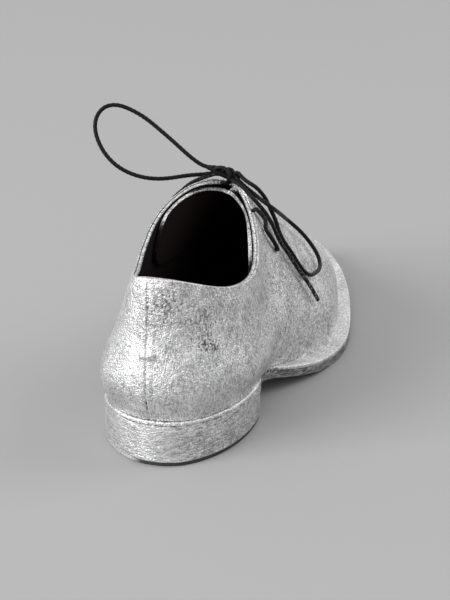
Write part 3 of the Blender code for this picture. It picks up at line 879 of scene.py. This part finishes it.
def overrun_paint():
    """Dark leather, with the paint that ran over its edge."""
    look = Look("overrun_paint", {"Specular IOR Level": 0.15})
    over = look.ramp(look.mask("edge") + 0.4 * look.cloud(OVERRUN_CLOUD), *OVERRUN_RAMP)
    grain = look.cloud(LEATHER_GRAIN, detail=4.0)
    leather = look.mix(grain, *OVERRUN_LEATHER)
    silver = look.mix(look.ramp(grain, *OVERRUN_FLAKES), *OVERRUN_SILVER)
    return look.finish(
        Base_Color=look.mix(over, leather, silver),
        Metallic=OVERRUN_METAL * over,
        Roughness=OVERRUN_ROUGH - 0.25 * over,
        Normal=look.bump(grain, OVERRUN_DEPTH),
    )


def seam_tack(points, to_seam):
    """How much of each point belongs to the small bar across the back seam."""
    upright = bell(points[:, 2] - TACK_Z, TACK_HALF_HEIGHT)
    return upright * share_past(to_seam, TACK_HALF_WIDTH, -TACK_SLOPE)


def quarter_lift(points, to_seam, to_rim, to_front):
    """Relief of a quarter: swelling leather, blisters, the back seam with its tack, and rounded edges."""
    blister = share_past(points[:, 2], BLISTER_FOOT_Z, BLISTER_RISE)
    blister *= share_past(points[:, 1], BLISTER_FRONT_Y, -BLISTER_FADE)
    lift = waves(points, QUARTER_SWELL)
    lift += blister * (waves(points, BLISTERS) + waves(points, PAINT_LUMPS))
    lift -= SEAM_DEPTH * bell(to_seam, SEAM_WIDTH)
    lift += SEAM_LIP * bell(to_seam - SEAM_LIP_AWAY, SEAM_LIP_WIDTH)
    lift += SEAM_RIDGE * np.exp(-to_seam / SEAM_RIDGE_REACH)
    lift += TACK_LIFT * seam_tack(points, to_seam)
    to_edge = np.minimum(to_rim, to_front)
    lift *= share_past(to_edge, 0, CALM_EDGE)
    return lift - rounding(to_edge, RIM_ROUND) - FRONT_SKIVE * np.clip(1 - to_front / SKIVE_WIDTH, 0, 1)**2


def quarter_wear(points, outer, to_seam, to_rim, to_foot):
    """Where a quarter's paint is worn: smudges, the rim and the back seam; and a painted shade line along
    the welt.
    """
    worn = wear_and_shade_line(points, to_rim, RIM_RUB) + wear_and_shade_line(points, to_foot, FOOT_GAP_SHADE)
    low_seam = share_past(points[:, 2], LOW_SEAM_Z, -LOW_SEAM_FADE)
    seam_rub = SEAM_RUB._replace(
        worn=SEAM_RUB.worn + LOW_SEAM_WORN * low_seam,
        base=SEAM_RUB.base + LOW_SEAM_DASH * low_seam,
    )
    worn += wear_and_shade_line(points, to_seam, seam_rub) * (1 - seam_tack(points, to_seam))
    for patch in WORN_PATCHES:
        away = np.linalg.norm(outer - np.array(patch[:3]), axis=1)
        worn += patch.worn * bell(away, patch.size)
    return worn


OVERRUN_LOOK = overrun_paint()
QUARTER_LOOK = silver_paint(
    "quarter_silver",
    PALE_SILVER,
    GREY_SILVER,
    QUARTER_STREAK,
    QUARTER_RELIEF,
    QUARTER_BRUSH,
)
for side in SIDES:
    grid = quarter_grid(side, QUARTER_COLUMNS, QUARTER_ROWS, 0.0)
    points = grid.reshape(-1, 3)
    faces = grid_faces(QUARTER_COLUMNS, QUARTER_ROWS, side == "med")
    outer = points + QUARTER_WALL * surface_normals(points, faces)
    to_seam = from_start(grid, 0)
    to_rim = from_end(grid, 1)
    lift = quarter_lift(points, to_seam, to_rim, from_end(grid, 0))
    worn = quarter_wear(points, outer, to_seam, to_rim, from_start(grid, 1))
    # Painted shade: each lace hole is a shallow dimple darkened through the worn mask, for its dark opening.
    for hole in HOLES[side]:
        away = np.linalg.norm(outer - np.array(hole), axis=1)
        sunk = share_past(away, HOLE_RADIUS + HOLE_SLOPE / 2, -HOLE_SLOPE)
        lift -= HOLE_DEPTH * sunk
        worn += HOLE_SHADE * sunk
    quarter_masks = {
        "worn": np.clip(worn, 0, MOST_WORN),
        # More flake contrast and dark pits towards the front: partly pitted paint, partly painted glints and
        # relief shade.
        "grain": share_past(points[:, 1], PITS_AND_GLINTS_START_Y, PITS_AND_GLINTS_REACH),
    }
    add_skin(
        "quarter_" + side,
        points,
        faces,
        QUARTER_WALL - QUARTER_LEATHER,
        QUARTER_WALL + lift,
        [QUARTER_LOOK, LINING_LOOK],
        masks=quarter_masks,
    )
lining_short = UNDER_QUARTERS - LINING_LAP
lining_points, lining_faces, _ = joined_halves(
    {side: quarter_grid(side, LINING_COLUMNS, LINING_ROWS, lining_short) for side in SIDES}
)
add_skin(
    "lining",
    lining_points,
    lining_faces,
    -LINING_PROUD,
    VAMP_WALL - LINING_PROUD,
    [OVERRUN_LOOK, LINING_LOOK],
    masks={"edge": np.repeat(LINING_PAINT, len(lining_points))},
)

# Tongue
# A wide flap of the same leather, sewn under the vamp and lying just inside the quarters up to the collar.
# Its cut edge and a narrow border inside took silver paint; the rest of its inner face is dark.
TONGUE_BACK_Y = 78.0
TONGUE_APEX_Y = 141.0
TONGUE_END_Y = 172.0
TONGUE_CLEAR = 0.4
TONGUE_OPEN = 0.5
TONGUE_WALL = 1.8
TONGUE_CLOSE = 0.03
TONGUE_PULL = 1.8
BORDER_FULL = 1.4
BORDER_FADE = 16.0
BORDER_START_Y = 82.0
BORDER_REACH = 16.0
BORDER_LEAST = 0.1
SHOWN_REACH = 4.0
WEB_START_Y = 96.0
WEB_END_Y = 134.5
WEB_SHARE = 0.7
WEB_DROP = 2.4
WEB_SLOW = 5
WEB_ROUND = 8
TONGUE_COLUMNS = 160
TONGUE_ROWS = 56
TongueEdge = namedtuple("TongueEdge", "y low high")
TONGUE_EDGE = (
    TongueEdge(78.0, 0.78, 0.84),
    TongueEdge(82.0, 0.70, 0.905),
    TongueEdge(88.0, 0.64, 0.96),
    TongueEdge(95.0, 0.60, 0.985),
    TongueEdge(120.0, 0.52, 0.985),
    TongueEdge(145.0, 0.54, 0.985),
    TongueEdge(172.0, 0.66, 0.985),
)
tongue_low = steady([row.y for row in TONGUE_EDGE], [row.low for row in TONGUE_EDGE])
tongue_high = steady([row.y for row in TONGUE_EDGE], [row.high for row in TONGUE_EDGE])


def arch_web(y):
    """How far the two halves have drawn together, slowly at first and then in a round arch."""
    share = share_past(y, WEB_START_Y, WEB_END_Y - WEB_START_Y)
    return 0.5 * share**WEB_SLOW + 0.5 * (1 - np.sqrt(1 - share**WEB_ROUND))


def both_halves(grid):
    """Values of one half of the tongue for the points of both, as joined."""
    return np.tile(grid.ravel(), 2)[tongue_kept]


tongue_p, tongue_share = np.meshgrid(
    np.linspace(station(TONGUE_BACK_Y, SECTIONS), station(TONGUE_END_Y, SECTIONS), TONGUE_COLUMNS),
    np.linspace(0, 1, TONGUE_ROWS),
    indexing="ij",
)
tongue_y = station_y(tongue_p, SECTIONS)
tongue_open = share_past(tongue_p, station(TONGUE_APEX_Y, SECTIONS), -TONGUE_CLOSE)**0.5
tongue_top = 1 - (1 - tongue_high(tongue_y)) * tongue_open
tongue_up = 1 - (1 - tongue_share)**TONGUE_PULL
tongue_v = tongue_low(tongue_y) + (tongue_top - tongue_low(tongue_y)) * tongue_up
tongue_tops = [last_point(tongue_p[:, -1], tongue_top[:, -1], side) for side in SIDES]
tongue_middle = tongue_tops[0] + (tongue_tops[1] - tongue_tops[0]) * WEB_SHARE
tongue_web = arch_web(tongue_y)
closed = tongue_y[:, -1] >= WEB_END_Y
tongue_halves = {side: last_point(tongue_p, tongue_v, side) for side in SIDES}
for half in tongue_halves.values():
    half += (tongue_middle[:, None] - half[:, -1:]) * (tongue_web * tongue_share**4)[..., None]
    half[closed, -1] = tongue_middle[closed]
    half[..., 2] -= WEB_DROP * tongue_web * tongue_share
tongue_points, tongue_faces, tongue_kept = joined_halves(tongue_halves)
tongue_inset = both_halves(TONGUE_CLEAR + TONGUE_OPEN * tongue_open * tongue_share**2)
tongue_border = np.clip(BORDER_FULL - (1 - tongue_share) * BORDER_FADE, 0, 1)
tongue_border *= np.maximum(share_past(tongue_y, BORDER_START_Y, BORDER_REACH), BORDER_LEAST)
tongue_shown = share_past(tongue_y, COLLAR_FRONT_Y - SHOWN_REACH, SHOWN_REACH)
outer_edge = both_halves(np.maximum(tongue_border, tongue_shown))
add_skin(
    "tongue_flap",
    tongue_points,
    tongue_faces,
    -tongue_inset - TONGUE_WALL,
    -tongue_inset,
    [OVERRUN_LOOK, OVERRUN_LOOK],
    ["tongue"],
    {"edge": np.concatenate([outer_edge, both_halves(tongue_border)])},
    rim_look=1,
)

# Welt
# A leather strip sewn all round to the foot of the upper and standing out past it as a ledge. The brush
# left the paint thick and crusty on its top, and the trimmed edge is thinner and greyer.
SOLE_COUNT = 200
WELT_ROUND = 0.7
HEEL_WELT_ROUND = 0.9
WAIST_Y = 88.0
WAIST_REACH = 14.0
WAIST_TRIM = 2.2
WELT_RISE = 0.45
Ledge = namedtuple("Ledge", "share rise")
WELT_LEDGE = (
    Ledge(0.35, 0.0),
    Ledge(0.7, WELT_RISE),
    Ledge(1.0, WELT_RISE),
)
HIDDEN_RINGS = 3
EDGE_WAVE = 9.0
EDGE_NICK = 2.5
NICK_SHARE = 0.4
WELT_WAVER = 0.14
WELT_WAVER_SEED = 11
WELT_CRUST = Wave(3.5, 0.16, 14)
WELT_TOP_SKIN = 0.9
WELT_TOP_BLEND = 0.6
BARE_START_Y = 69.0
BARE_REACH = 10.0
WELT_EDGE_WORN = 0.3
WELT_PITS_AND_GLINTS = 0.2
WELT_SILVER = ((1.0, 1.0, 1.0, 1), (0.4, 0.4, 0.405, 1))
WELT_STREAK = (1.5, 1.5, 0.7)
WELT_RELIEF = 1.3
WELT_BRUSH = 0.25
sole_stations = np.linspace(0, 1, SOLE_COUNT)
sole_columns = {side: column(SOLE_EDGE, side) for side in SIDES}


def edge_tone(y):
    """How bare a sole edge is: painted like the heel at the back, dark along the forepart."""
    return share_past(y, BARE_START_Y, BARE_REACH)


def welt_round(y):
    return HEEL_WELT_ROUND + (WELT_ROUND - HEEL_WELT_ROUND) * edge_tone(y)


def welt_foot(y):
    """Half-way up the glued joint between the outsole and the welt."""
    return outsole_top(y) + 0.5 * GAP


def at_waist(y):
    return np.exp(-((y - WAIST_Y) / WAIST_REACH)**4)


def sole_outline(p, side, inset):
    edge = sole_columns[side]
    nx, ny = side_normal(edge, SOLE_EDGE, p, side)
    return edge(p) - nx * inset, station_y(p, SOLE_EDGE) - ny * inset


def trimmed_outline(p, side, inset):
    """Edge of the sole, cut in under the upper along the outer side of the waist."""
    trim = WAIST_TRIM * at_waist(station_y(p, SOLE_EDGE)) if side == "lat" else 0.0
    return sole_outline(p, side, inset + trim)


def uneven_edge(points, amount, seed):
    """Hand-trimmed: the side wavers a little, the faces stay level."""
    points = points.copy()
    nicks = NICK_SHARE * amount * ripple(points, EDGE_NICK, seed + 1)
    points[:, 0] += amount * ripple(points, EDGE_WAVE, seed) + nicks
    points[:, 1] += amount * ripple(points, EDGE_WAVE, seed + 2)
    return points


welt_rings = []
for inset, height in rounded_side(welt_foot, welt_top, welt_round, 1):
    ring = plan_ring(trimmed_outline, sole_stations, inset(sole_stations))
    welt_rings.append(np.column_stack([ring, height(ring[:, 1])]))
ledge_outer = plan_ring(trimmed_outline, sole_stations, welt_round(station_y(sole_stations, SOLE_EDGE)))
ledge_inner = plan_ring(last_outline, sole_stations, WELT_UNDER_UPPER)
for ledge in WELT_LEDGE:
    ring = ledge_outer + (ledge_inner - ledge_outer) * ledge.share
    welt_rings.append(np.column_stack([ring, welt_top(ring[:, 1]) + ledge.rise]))
inner_foot = welt_rings[-1].copy()
inner_foot[:, 2] -= WELT + 0.5 * GAP + WELT_RISE
welt_rings.append(inner_foot)
ring_count = len(inner_foot)
welt_faces = []
for k in range(len(welt_rings)):
    above = (k + 1) % len(welt_rings)
    welt_faces += between_rings(k * ring_count, above * ring_count, ring_count)
welt_points = uneven_edge(np.concatenate(welt_rings), WELT_WAVER, WELT_WAVER_SEED)
welt_y = welt_points[:, 1]
welt_top_share = share_past(welt_points[:, 2] - welt_top(welt_y), -WELT_TOP_SKIN, WELT_TOP_BLEND)
welt_points[:, 2] += welt_top_share * (waves(welt_points, WELT_CRUST) - 0.5 * WELT_CRUST.height)
welt_worn = WELT_EDGE_WORN * edge_tone(welt_y) * (1 - welt_top_share)
welt_masks = {
    # Painted shade: the welt darkened along the outer waist, where the upper overhangs it.
    "worn": welt_worn + at_waist(welt_y) * (welt_points[:, 0] > 0),
    # A little more flake contrast and pits: partly painted glints and relief shade.
    "grain": np.full(len(welt_points), WELT_PITS_AND_GLINTS),
}
welt = add_piece(
    "welt_strip",
    welt_points,
    welt_faces,
    [silver_paint("welt_silver", *WELT_SILVER, WELT_STREAK, WELT_RELIEF, WELT_BRUSH), LINING_LOOK],
    ["welt"],
    welt_masks,
)
shown_faces = len(welt_faces) - HIDDEN_RINGS * ring_count
welt_indices = np.repeat([0, 1], [shown_faces, HIDDEN_RINGS * ring_count])
welt.data.polygons.foreach_set("material_index", welt_indices.astype(np.int32))

# Outsole
# One plate of sole leather from the heel seat to the toe. Its trimmed edge took little paint along the
# forepart and shows dark streaks; the tread below is bare, scuffed leather.
SOLE_ROUND = 0.5
HEEL_SOLE_ROUND = 0.04
SOLE_ROWS = 3
SOLE_WAVER = 0.12
SOLE_WAVER_SEED = 21
TREAD_START_Y = 70.0
TREAD_DEPTH = 0.25
OUTER_GLINTS_X = 6.0
OUTER_GLINTS_REACH = 14.0
HEEL_SILVER = ((0.96, 0.96, 0.96, 1), (0.3, 0.3, 0.305, 1))
HEEL_STREAK = (4.0, 4.0, 0.45)
HEEL_RELIEF = 0.7
HEEL_BRUSH = 0.5
BARE_EDGE = ((0.015, 0.015, 0.015, 1), (0.36, 0.36, 0.37, 1))
BARE_GRAIN = 1.0
BARE_STREAK = (3.5, 3.5, 0.35)
BARE_RAMP = (0.42, 0.64)
BARE_DEPTH = 0.2
TREAD_LEATHER = ((0.045, 0.034, 0.028, 1), (0.16, 0.13, 0.11, 1))
TREAD_SCUFF = 7.0
TREAD_STREAK = (1.0, 3.0, 1.0)
TREAD_RAMP = (0.35, 0.7)


def sole_leather():
    """Sole leather: painted like the heel, bare dark streaks along the forepart, scuffs on the tread."""
    look = Look("sole_leather", {"Specular IOR Level": 0.4})
    silver, rough, normal = paint_coat(look, *HEEL_SILVER, HEEL_STREAK, HEEL_RELIEF, HEEL_BRUSH)
    streak = look.cloud(BARE_GRAIN, stretch=BARE_STREAK, detail=4.0)
    bare = look.mask("bare")
    tread = look.mask("tread")
    edge = look.mix(bare, silver, look.mix(look.ramp(streak, *BARE_RAMP), *BARE_EDGE))
    scuff = look.cloud(TREAD_SCUFF, stretch=TREAD_STREAK, detail=5.0)
    leather = look.mix(look.ramp(scuff, *TREAD_RAMP), *TREAD_LEATHER)
    return look.finish(
        Base_Color=look.mix(tread, edge, leather),
        Metallic=PAINT_METAL * (1 - bare) * (1 - tread),
        Roughness=rough,
        Normal=look.bump(streak, BARE_DEPTH, normal),
    )


def outer_pits_and_glints(points):
    """Pitted paint on the outer side of sole and heel, partly painted glints and relief shade."""
    return share_past(points[:, 0], OUTER_GLINTS_X, OUTER_GLINTS_REACH)


def sole_round(y):
    return HEEL_SOLE_ROUND + (SOLE_ROUND - HEEL_SOLE_ROUND) * edge_tone(y)


outsole_points, outsole_faces = plate(
    sole_stations,
    trimmed_outline,
    rounded_side(underside, welt_foot, sole_round, SOLE_ROWS),
)
outsole_points = uneven_edge(outsole_points, SOLE_WAVER, SOLE_WAVER_SEED)
outsole_y = outsole_points[:, 1]
outsole_masks = {
    "worn": np.zeros(len(outsole_points)),
    "grain": outer_pits_and_glints(outsole_points),
    "bare": edge_tone(outsole_y),
    "tread": (outsole_y > TREAD_START_Y) * (outsole_points[:, 2] < underside(outsole_y) + TREAD_DEPTH),
}
add_piece(
    "outsole_plate",
    outsole_points,
    outsole_faces,
    [sole_leather()],
    ["outsole"],
    outsole_masks,
    PLATE_CORNER,
)

# Heel
# Leather lifts glued in a stack, trimmed flush with the sole and painted over, so that only faint lines
# and sideways scratches show; a thin black rubber top piece is nailed below.
HEEL_BREAST_Y = 67.0
HEEL_COUNT = 90
HEEL_ROWS = 16
HEEL_ROUND = 0.05
HEEL_WAVER_SEED = 31
TOP_PIECE = 2.2
TOP_PIECE_INSET = 0.6
TOP_PIECE_ROUND = 0.3
TOP_PIECE_LAP = 0.1
LIFT_LINES = (0.3, 0.62)
LIFT_LINE_WIDTH = 0.03
LIFT_LINE_WORN = 0.2
SMEAR_END_X = -2.0
SMEAR_REACH = 16.0
SMEAR_FOOT = 0.2
RUBBER = ((0.012, 0.012, 0.012, 1), (0.07, 0.07, 0.07, 1))
RUBBER_ROUGH = 0.6
GRIT = 0.8
GRIT_DEPTH = 0.2
RUBBER_SCUFF = 6.0
RUBBER_SCUFF_RAMP = (0.5, 0.75)
SMEAR_CLOUD = 3.0
SMEAR_RAMP = (0.3, 0.9)
heel_stations = np.linspace(0.0, float(station(HEEL_BREAST_Y, SOLE_EDGE)), HEEL_COUNT)
heel_levels = rounded_side(even(TOP_PIECE + HEEL_ROUND), underside, even(HEEL_ROUND), HEEL_ROWS)
heel_points, heel_faces = plate(heel_stations, sole_outline, heel_levels, open_front=True)
heel_points = uneven_edge(heel_points, SOLE_WAVER, HEEL_WAVER_SEED)
heel_share = (heel_points[:, 2] - TOP_PIECE) / (underside(heel_points[:, 1]) - TOP_PIECE)
heel_lines = sum(bell(heel_share - line, LIFT_LINE_WIDTH) for line in LIFT_LINES)
add_piece(
    "heel_lifts",
    heel_points,
    heel_faces,
    [silver_paint("heel_silver", *HEEL_SILVER, HEEL_STREAK, HEEL_RELIEF, HEEL_BRUSH)],
    ["heel_stack"],
    {"worn": LIFT_LINE_WORN * heel_lines, "grain": outer_pits_and_glints(heel_points)},
    PLATE_CORNER,
)


def rubber_look():
    """Black rubber, dulled by grit, with paint smears at its edge."""
    look = Look("heel_rubber", {"Specular IOR Level": 0.4})
    grit = look.cloud(GRIT, detail=4.0)
    scuff = look.ramp(look.cloud(RUBBER_SCUFF), *RUBBER_SCUFF_RAMP)
    rubber = look.mix(0.5 * grit + 0.4 * scuff, *RUBBER)
    smear = look.ramp(look.mask("smear") + 0.3 * look.cloud(SMEAR_CLOUD), *SMEAR_RAMP)
    silver = look.mix(grit, *HEEL_SILVER[::-1])
    return look.finish(
        Base_Color=look.mix(smear, rubber, silver),
        Metallic=PAINT_METAL * smear,
        Roughness=RUBBER_ROUGH + 0.25 * grit - 0.2 * smear,
        Normal=look.bump(grit, GRIT_DEPTH),
    )


top_points, top_faces = plate(
    heel_stations,
    lambda p, side, inset: sole_outline(p, side, TOP_PIECE_INSET + inset),
    rounded_side(even(0.0), even(TOP_PIECE + TOP_PIECE_LAP), even(TOP_PIECE_ROUND), 1),
    open_front=True,
)
top_smear = share_past(top_points[:, 0], SMEAR_END_X, -SMEAR_REACH) * (top_points[:, 2] > SMEAR_FOOT)
add_piece(
    "heel_tread",
    top_points,
    top_faces,
    [rubber_look()],
    ["heel_top_piece"],
    {"smear": top_smear},
    PLATE_CORNER,
)

# Lace
# A thin black waxed cord, laid from three twisted plies. It comes up through the lace holes of the quarters
# and is tied over the tongue in a bow: a loop out to the left, a loop and one free end down the right. The
# two runs from the holes are held at both ends.
CORD = 2.2
CORD_SIDES = 15
CORD_STEP = 0.6
PLIES = 3
PLY_DEPTH = 0.06
PLY_MIDDLE = 0.4
PLY_TURN = 7.0
PLY_START = (0.31, 0.2, 0.93)
FIBRE = 0.25
FIBRE_DEPTH = 0.12
WAXED_BLACK = ((0.002, 0.002, 0.002, 1), (0.008, 0.008, 0.008, 1))
WAX_ROUGH = 0.28
DUST_GREY = (0.06, 0.06, 0.06, 1)
DUST_PATCH = 9.0
DUST_PATCH_RAMP = (0.58, 0.75)
DUST_GRAIN = 0.5
DUST_GRAIN_RAMP = (0.5, 0.68)
SILVER_DUST = (0.45, 0.45, 0.45, 1)
SILVER_DUST_RAMP = (0.54, 0.62)
RUN_RIGHT = (
    (23.1, 119.0, 71.3), (22.6, 117.9, 73.7), (21.7, 116.6, 76.3), (20.5, 115.3, 79.1),
    (19.0, 114.7, 81.6), (17.6, 115.6, 83.7), (17.2, 117.2, 85.9), (16.0, 118.0, 88.0),
    (14.1, 117.6, 90.3), (11.8, 116.9, 92.2),
)
RUN_LEFT = (
    (-31.4, 114.9, 78.1), (-31.8, 112.5, 84.6), (-32.0, 111.0, 89.8), (-31.3, 112.4, 94.2),
    (-28.8, 116.1, 97.2), (-26.0, 120.1, 99.9), (-22.1, 124.5, 102.0), (-14.0, 128.8, 104.8),
)
LOOP_LEFT = (
    (-15.1, 130.8, 107.5), (-19.6, 130.4, 107.4), (-26.5, 129.8, 110.6), (-37.5, 129.4, 119.1),
    (-45.7, 129.1, 125.4), (-53.8, 128.6, 131.1), (-61.4, 127.5, 135.0), (-68.2, 125.9, 136.9),
    (-73.4, 123.5, 135.9), (-76.7, 120.5, 131.6), (-77.0, 118.3, 126.8), (-74.7, 116.3, 120.1),
    (-70.9, 115.2, 114.3), (-64.8, 114.9, 108.5), (-58.2, 115.7, 104.7), (-49.7, 118.0, 102.0),
    (-39.8, 122.3, 101.2), (-30.2, 127.5, 102.2), (-23.8, 130.6, 102.6), (-18.3, 132.6, 103.2),
    (-14.7, 132.1, 104.7),
)
LOOP_RIGHT = (
    (-2.9, 131.4, 105.7), (2.2, 130.1, 102.1), (7.0, 129.7, 99.8), (10.0, 131.3, 96.1),
    (12.3, 132.7, 91.9), (14.2, 133.2, 87.4), (16.7, 133.7, 82.0), (19.2, 132.8, 76.1),
    (22.8, 131.0, 71.0), (25.3, 134.0, 65.2), (28.7, 137.2, 57.5), (30.6, 139.6, 53.2),
    (32.0, 143.2, 49.8), (32.6, 150.0, 47.2), (32.2, 160.0, 45.4), (29.9, 171.9, 45.2),
    (26.1, 177.9, 48.6), (21.6, 178.9, 54.2), (16.5, 176.0, 61.4), (12.4, 170.5, 67.9),
    (13.9, 158.0, 74.4), (16.4, 141.5, 82.6), (17.2, 130.8, 88.3), (15.6, 126.2, 91.9),
    (12.3, 126.0, 94.0), (6.3, 127.7, 97.1), (1.6, 128.6, 99.8), (-4.2, 130.2, 103.9),
)
END_RIGHT = (
    (-5.9, 128.0, 102.9), (2.0, 125.4, 100.1), (5.7, 124.2, 97.5), (9.3, 123.6, 94.4),
    (11.7, 124.0, 91.6), (13.7, 124.8, 88.9), (15.5, 125.8, 85.7), (17.5, 126.0, 82.4),
    (19.9, 125.4, 78.2), (23.1, 125.2, 72.2), (25.9, 128.4, 65.9), (29.0, 132.0, 58.3),
    (31.9, 136.2, 51.2), (34.8, 140.8, 43.4), (37.5, 144.8, 35.3),
)
RIGHT_HOLE = (22.3, 120.1, 70.4)
RIGHT_RIM = (10.2, 116.6, 91.0)
LEFT_HOLE = (-30.3, 115.4, 77.3)


def unit(vectors):
    return vectors / (np.linalg.norm(vectors, axis=-1, keepdims=True) + TINY)


def line_length(line):
    return np.concatenate([[0.0], np.cumsum(np.linalg.norm(np.diff(line, axis=0), axis=1))])


def cord_line(route):
    """Points at an even step on a smooth curve through a route."""
    points = np.array(route)
    lengths = line_length(points)
    curves = [smooth(lengths, points[:, k], False) for k in range(3)]
    shares = np.linspace(0.0, lengths[-1], int(round(lengths[-1] / CORD_STEP)) + 1)
    return np.stack([curve(shares) for curve in curves], -1)


def laid_cord(line):
    """Points and faces of the cord along a line: its plies twist round it."""
    tangents = unit(np.gradient(line, axis=0))
    across = [unit(np.cross(tangents[0], PLY_START))]
    for tangent in tangents[1:]:
        across.append(unit(across[-1] - tangent * (across[-1] @ tangent)))
    across = np.array(across)
    third = np.cross(tangents, across)
    angles = np.linspace(0, 2 * math.pi, CORD_SIDES, endpoint=False)
    twist = 2 * math.pi * line_length(line) / PLY_TURN
    ply = 1 + PLY_DEPTH * (np.cos(PLIES * (angles[None, :] - twist[:, None])) - PLY_MIDDLE)
    ring = np.cos(angles)[None, :, None] * across[:, None] + np.sin(angles)[None, :, None] * third[:, None]
    points = (line[:, None] + ring * (CORD / 2 * ply)[..., None]).reshape(-1, 3)
    faces = []
    for i in range(len(line) - 1):
        faces += between_rings(i * CORD_SIDES, (i + 1) * CORD_SIDES, CORD_SIDES)
    last = (len(line) - 1) * CORD_SIDES
    faces.append(tuple(range(CORD_SIDES))[::-1])
    faces.append(tuple(range(last, last + CORD_SIDES)))
    return points, faces


def lace_look():
    """Waxed black cotton: fine fibres across the plies, a soft wax gloss, paler dust in places."""
    look = Look("waxed_cord", {"Specular IOR Level": 0.12})
    fibre = look.cloud(FIBRE, detail=2.0)
    dust = look.ramp(look.cloud(DUST_PATCH), *DUST_PATCH_RAMP)
    dust = dust * look.ramp(look.cloud(DUST_GRAIN), *DUST_GRAIN_RAMP)
    silver = look.mask("dusted") * look.ramp(look.cloud(FLAKE), *SILVER_DUST_RAMP)
    dusty = look.mix(dust * 0.2, look.mix(fibre, *WAXED_BLACK), DUST_GREY)
    return look.finish(
        Base_Color=look.mix(silver, dusty, SILVER_DUST),
        Roughness=WAX_ROUGH + 0.2 * fibre + 0.2 * silver,
        Normal=look.bump(fibre, FIBRE_DEPTH),
    )


LACE_LOOK = lace_look()
Strand = namedtuple("Strand", "node route dusted far_end")
STRANDS = (
    Strand("lace_loop_left", LOOP_LEFT, 0.0, "object"),
    Strand("lace_loop_right", LOOP_RIGHT, 0.0, "object"),
    Strand("lace_end_right", END_RIGHT, 0.7, "bare"),
    Strand("lace_run_right", (RIGHT_HOLE, *RUN_RIGHT, RIGHT_RIM), 0.1, None),
    Strand("lace_run_left", (LEFT_HOLE, *RUN_LEFT), 0.1, None),
)
for strand in STRANDS:
    line = cord_line(strand.route)
    points, faces = laid_cord(line)
    along = np.repeat(np.linspace(0, 1, len(line)), CORD_SIDES)
    masks = {"dusted": strand.dusted * along**2}
    piece = add_piece(strand.node + "_cord", points, faces, [LACE_LOOK], [strand.node], masks)

# Knot of the bow
# The cord itself, wound twice round the strands and pulled tight: two turns across the front, two strands
# through them from side to side, and each end of the lace running on into the middle.
KNOT_CENTRE = np.array((-9.2, 131.0, 104.0))
KNOT_WINDINGS = (
    (
        (-16.1, 129.8, 103.7), (-15.2, 128.9, 106.2), (-13.2, 128.6, 107.9), (-10.5, 128.8, 108.3),
        (-7.9, 128.4, 107.4), (-6.2, 127.7, 105.4), (-6.4, 127.5, 102.9), (-8.3, 128.2, 100.8),
        (-11.3, 129.6, 100.2),
    ),
    (
        (-10.6, 132.8, 104.5), (-9.4, 132.4, 106.3), (-7.0, 131.5, 106.9), (-5.2, 130.6, 105.8),
        (-4.7, 129.6, 103.8), (-5.9, 128.9, 101.6), (-8.3, 129.6, 99.8),
    ),
    (
        (-18.9, 128.3, 108.0), (-15.6, 128.5, 106.6), (-12.1, 128.8, 104.9), (-8.9, 129.6, 103.4),
        (-5.5, 131.0, 101.9), (-2.7, 131.5, 100.1),
    ),
    (
        (-18.9, 126.9, 104.7), (-15.7, 128.7, 104.6), (-12.4, 130.2, 104.2), (-8.5, 131.6, 104.2),
        (-4.9, 132.2, 103.6), (-2.1, 132.1, 102.6),
    ),
)
STUB_REACH = 0.7
STUB_COUNT = 10
knot_lines = [cord_line(winding) for winding in KNOT_WINDINGS]
for start in (RUN_LEFT[-1], LOOP_LEFT[0], LOOP_LEFT[-1], LOOP_RIGHT[0], LOOP_RIGHT[-1], END_RIGHT[0]):
    inward = np.array(start) + (KNOT_CENTRE - np.array(start)) * STUB_REACH
    knot_lines.append(np.linspace(start, inward, STUB_COUNT))
knot_points = []
knot_faces = []
for line in knot_lines:
    points, faces = laid_cord(line)
    knot_faces += [tuple(k + len(knot_points) for k in face) for face in faces]
    knot_points += points.tolist()
add_piece(
    "lace_knot_wound",
    np.array(knot_points),
    knot_faces,
    [LACE_LOOK],
    ["lace_knot"],
    {"dusted": np.zeros(len(knot_points))},
)
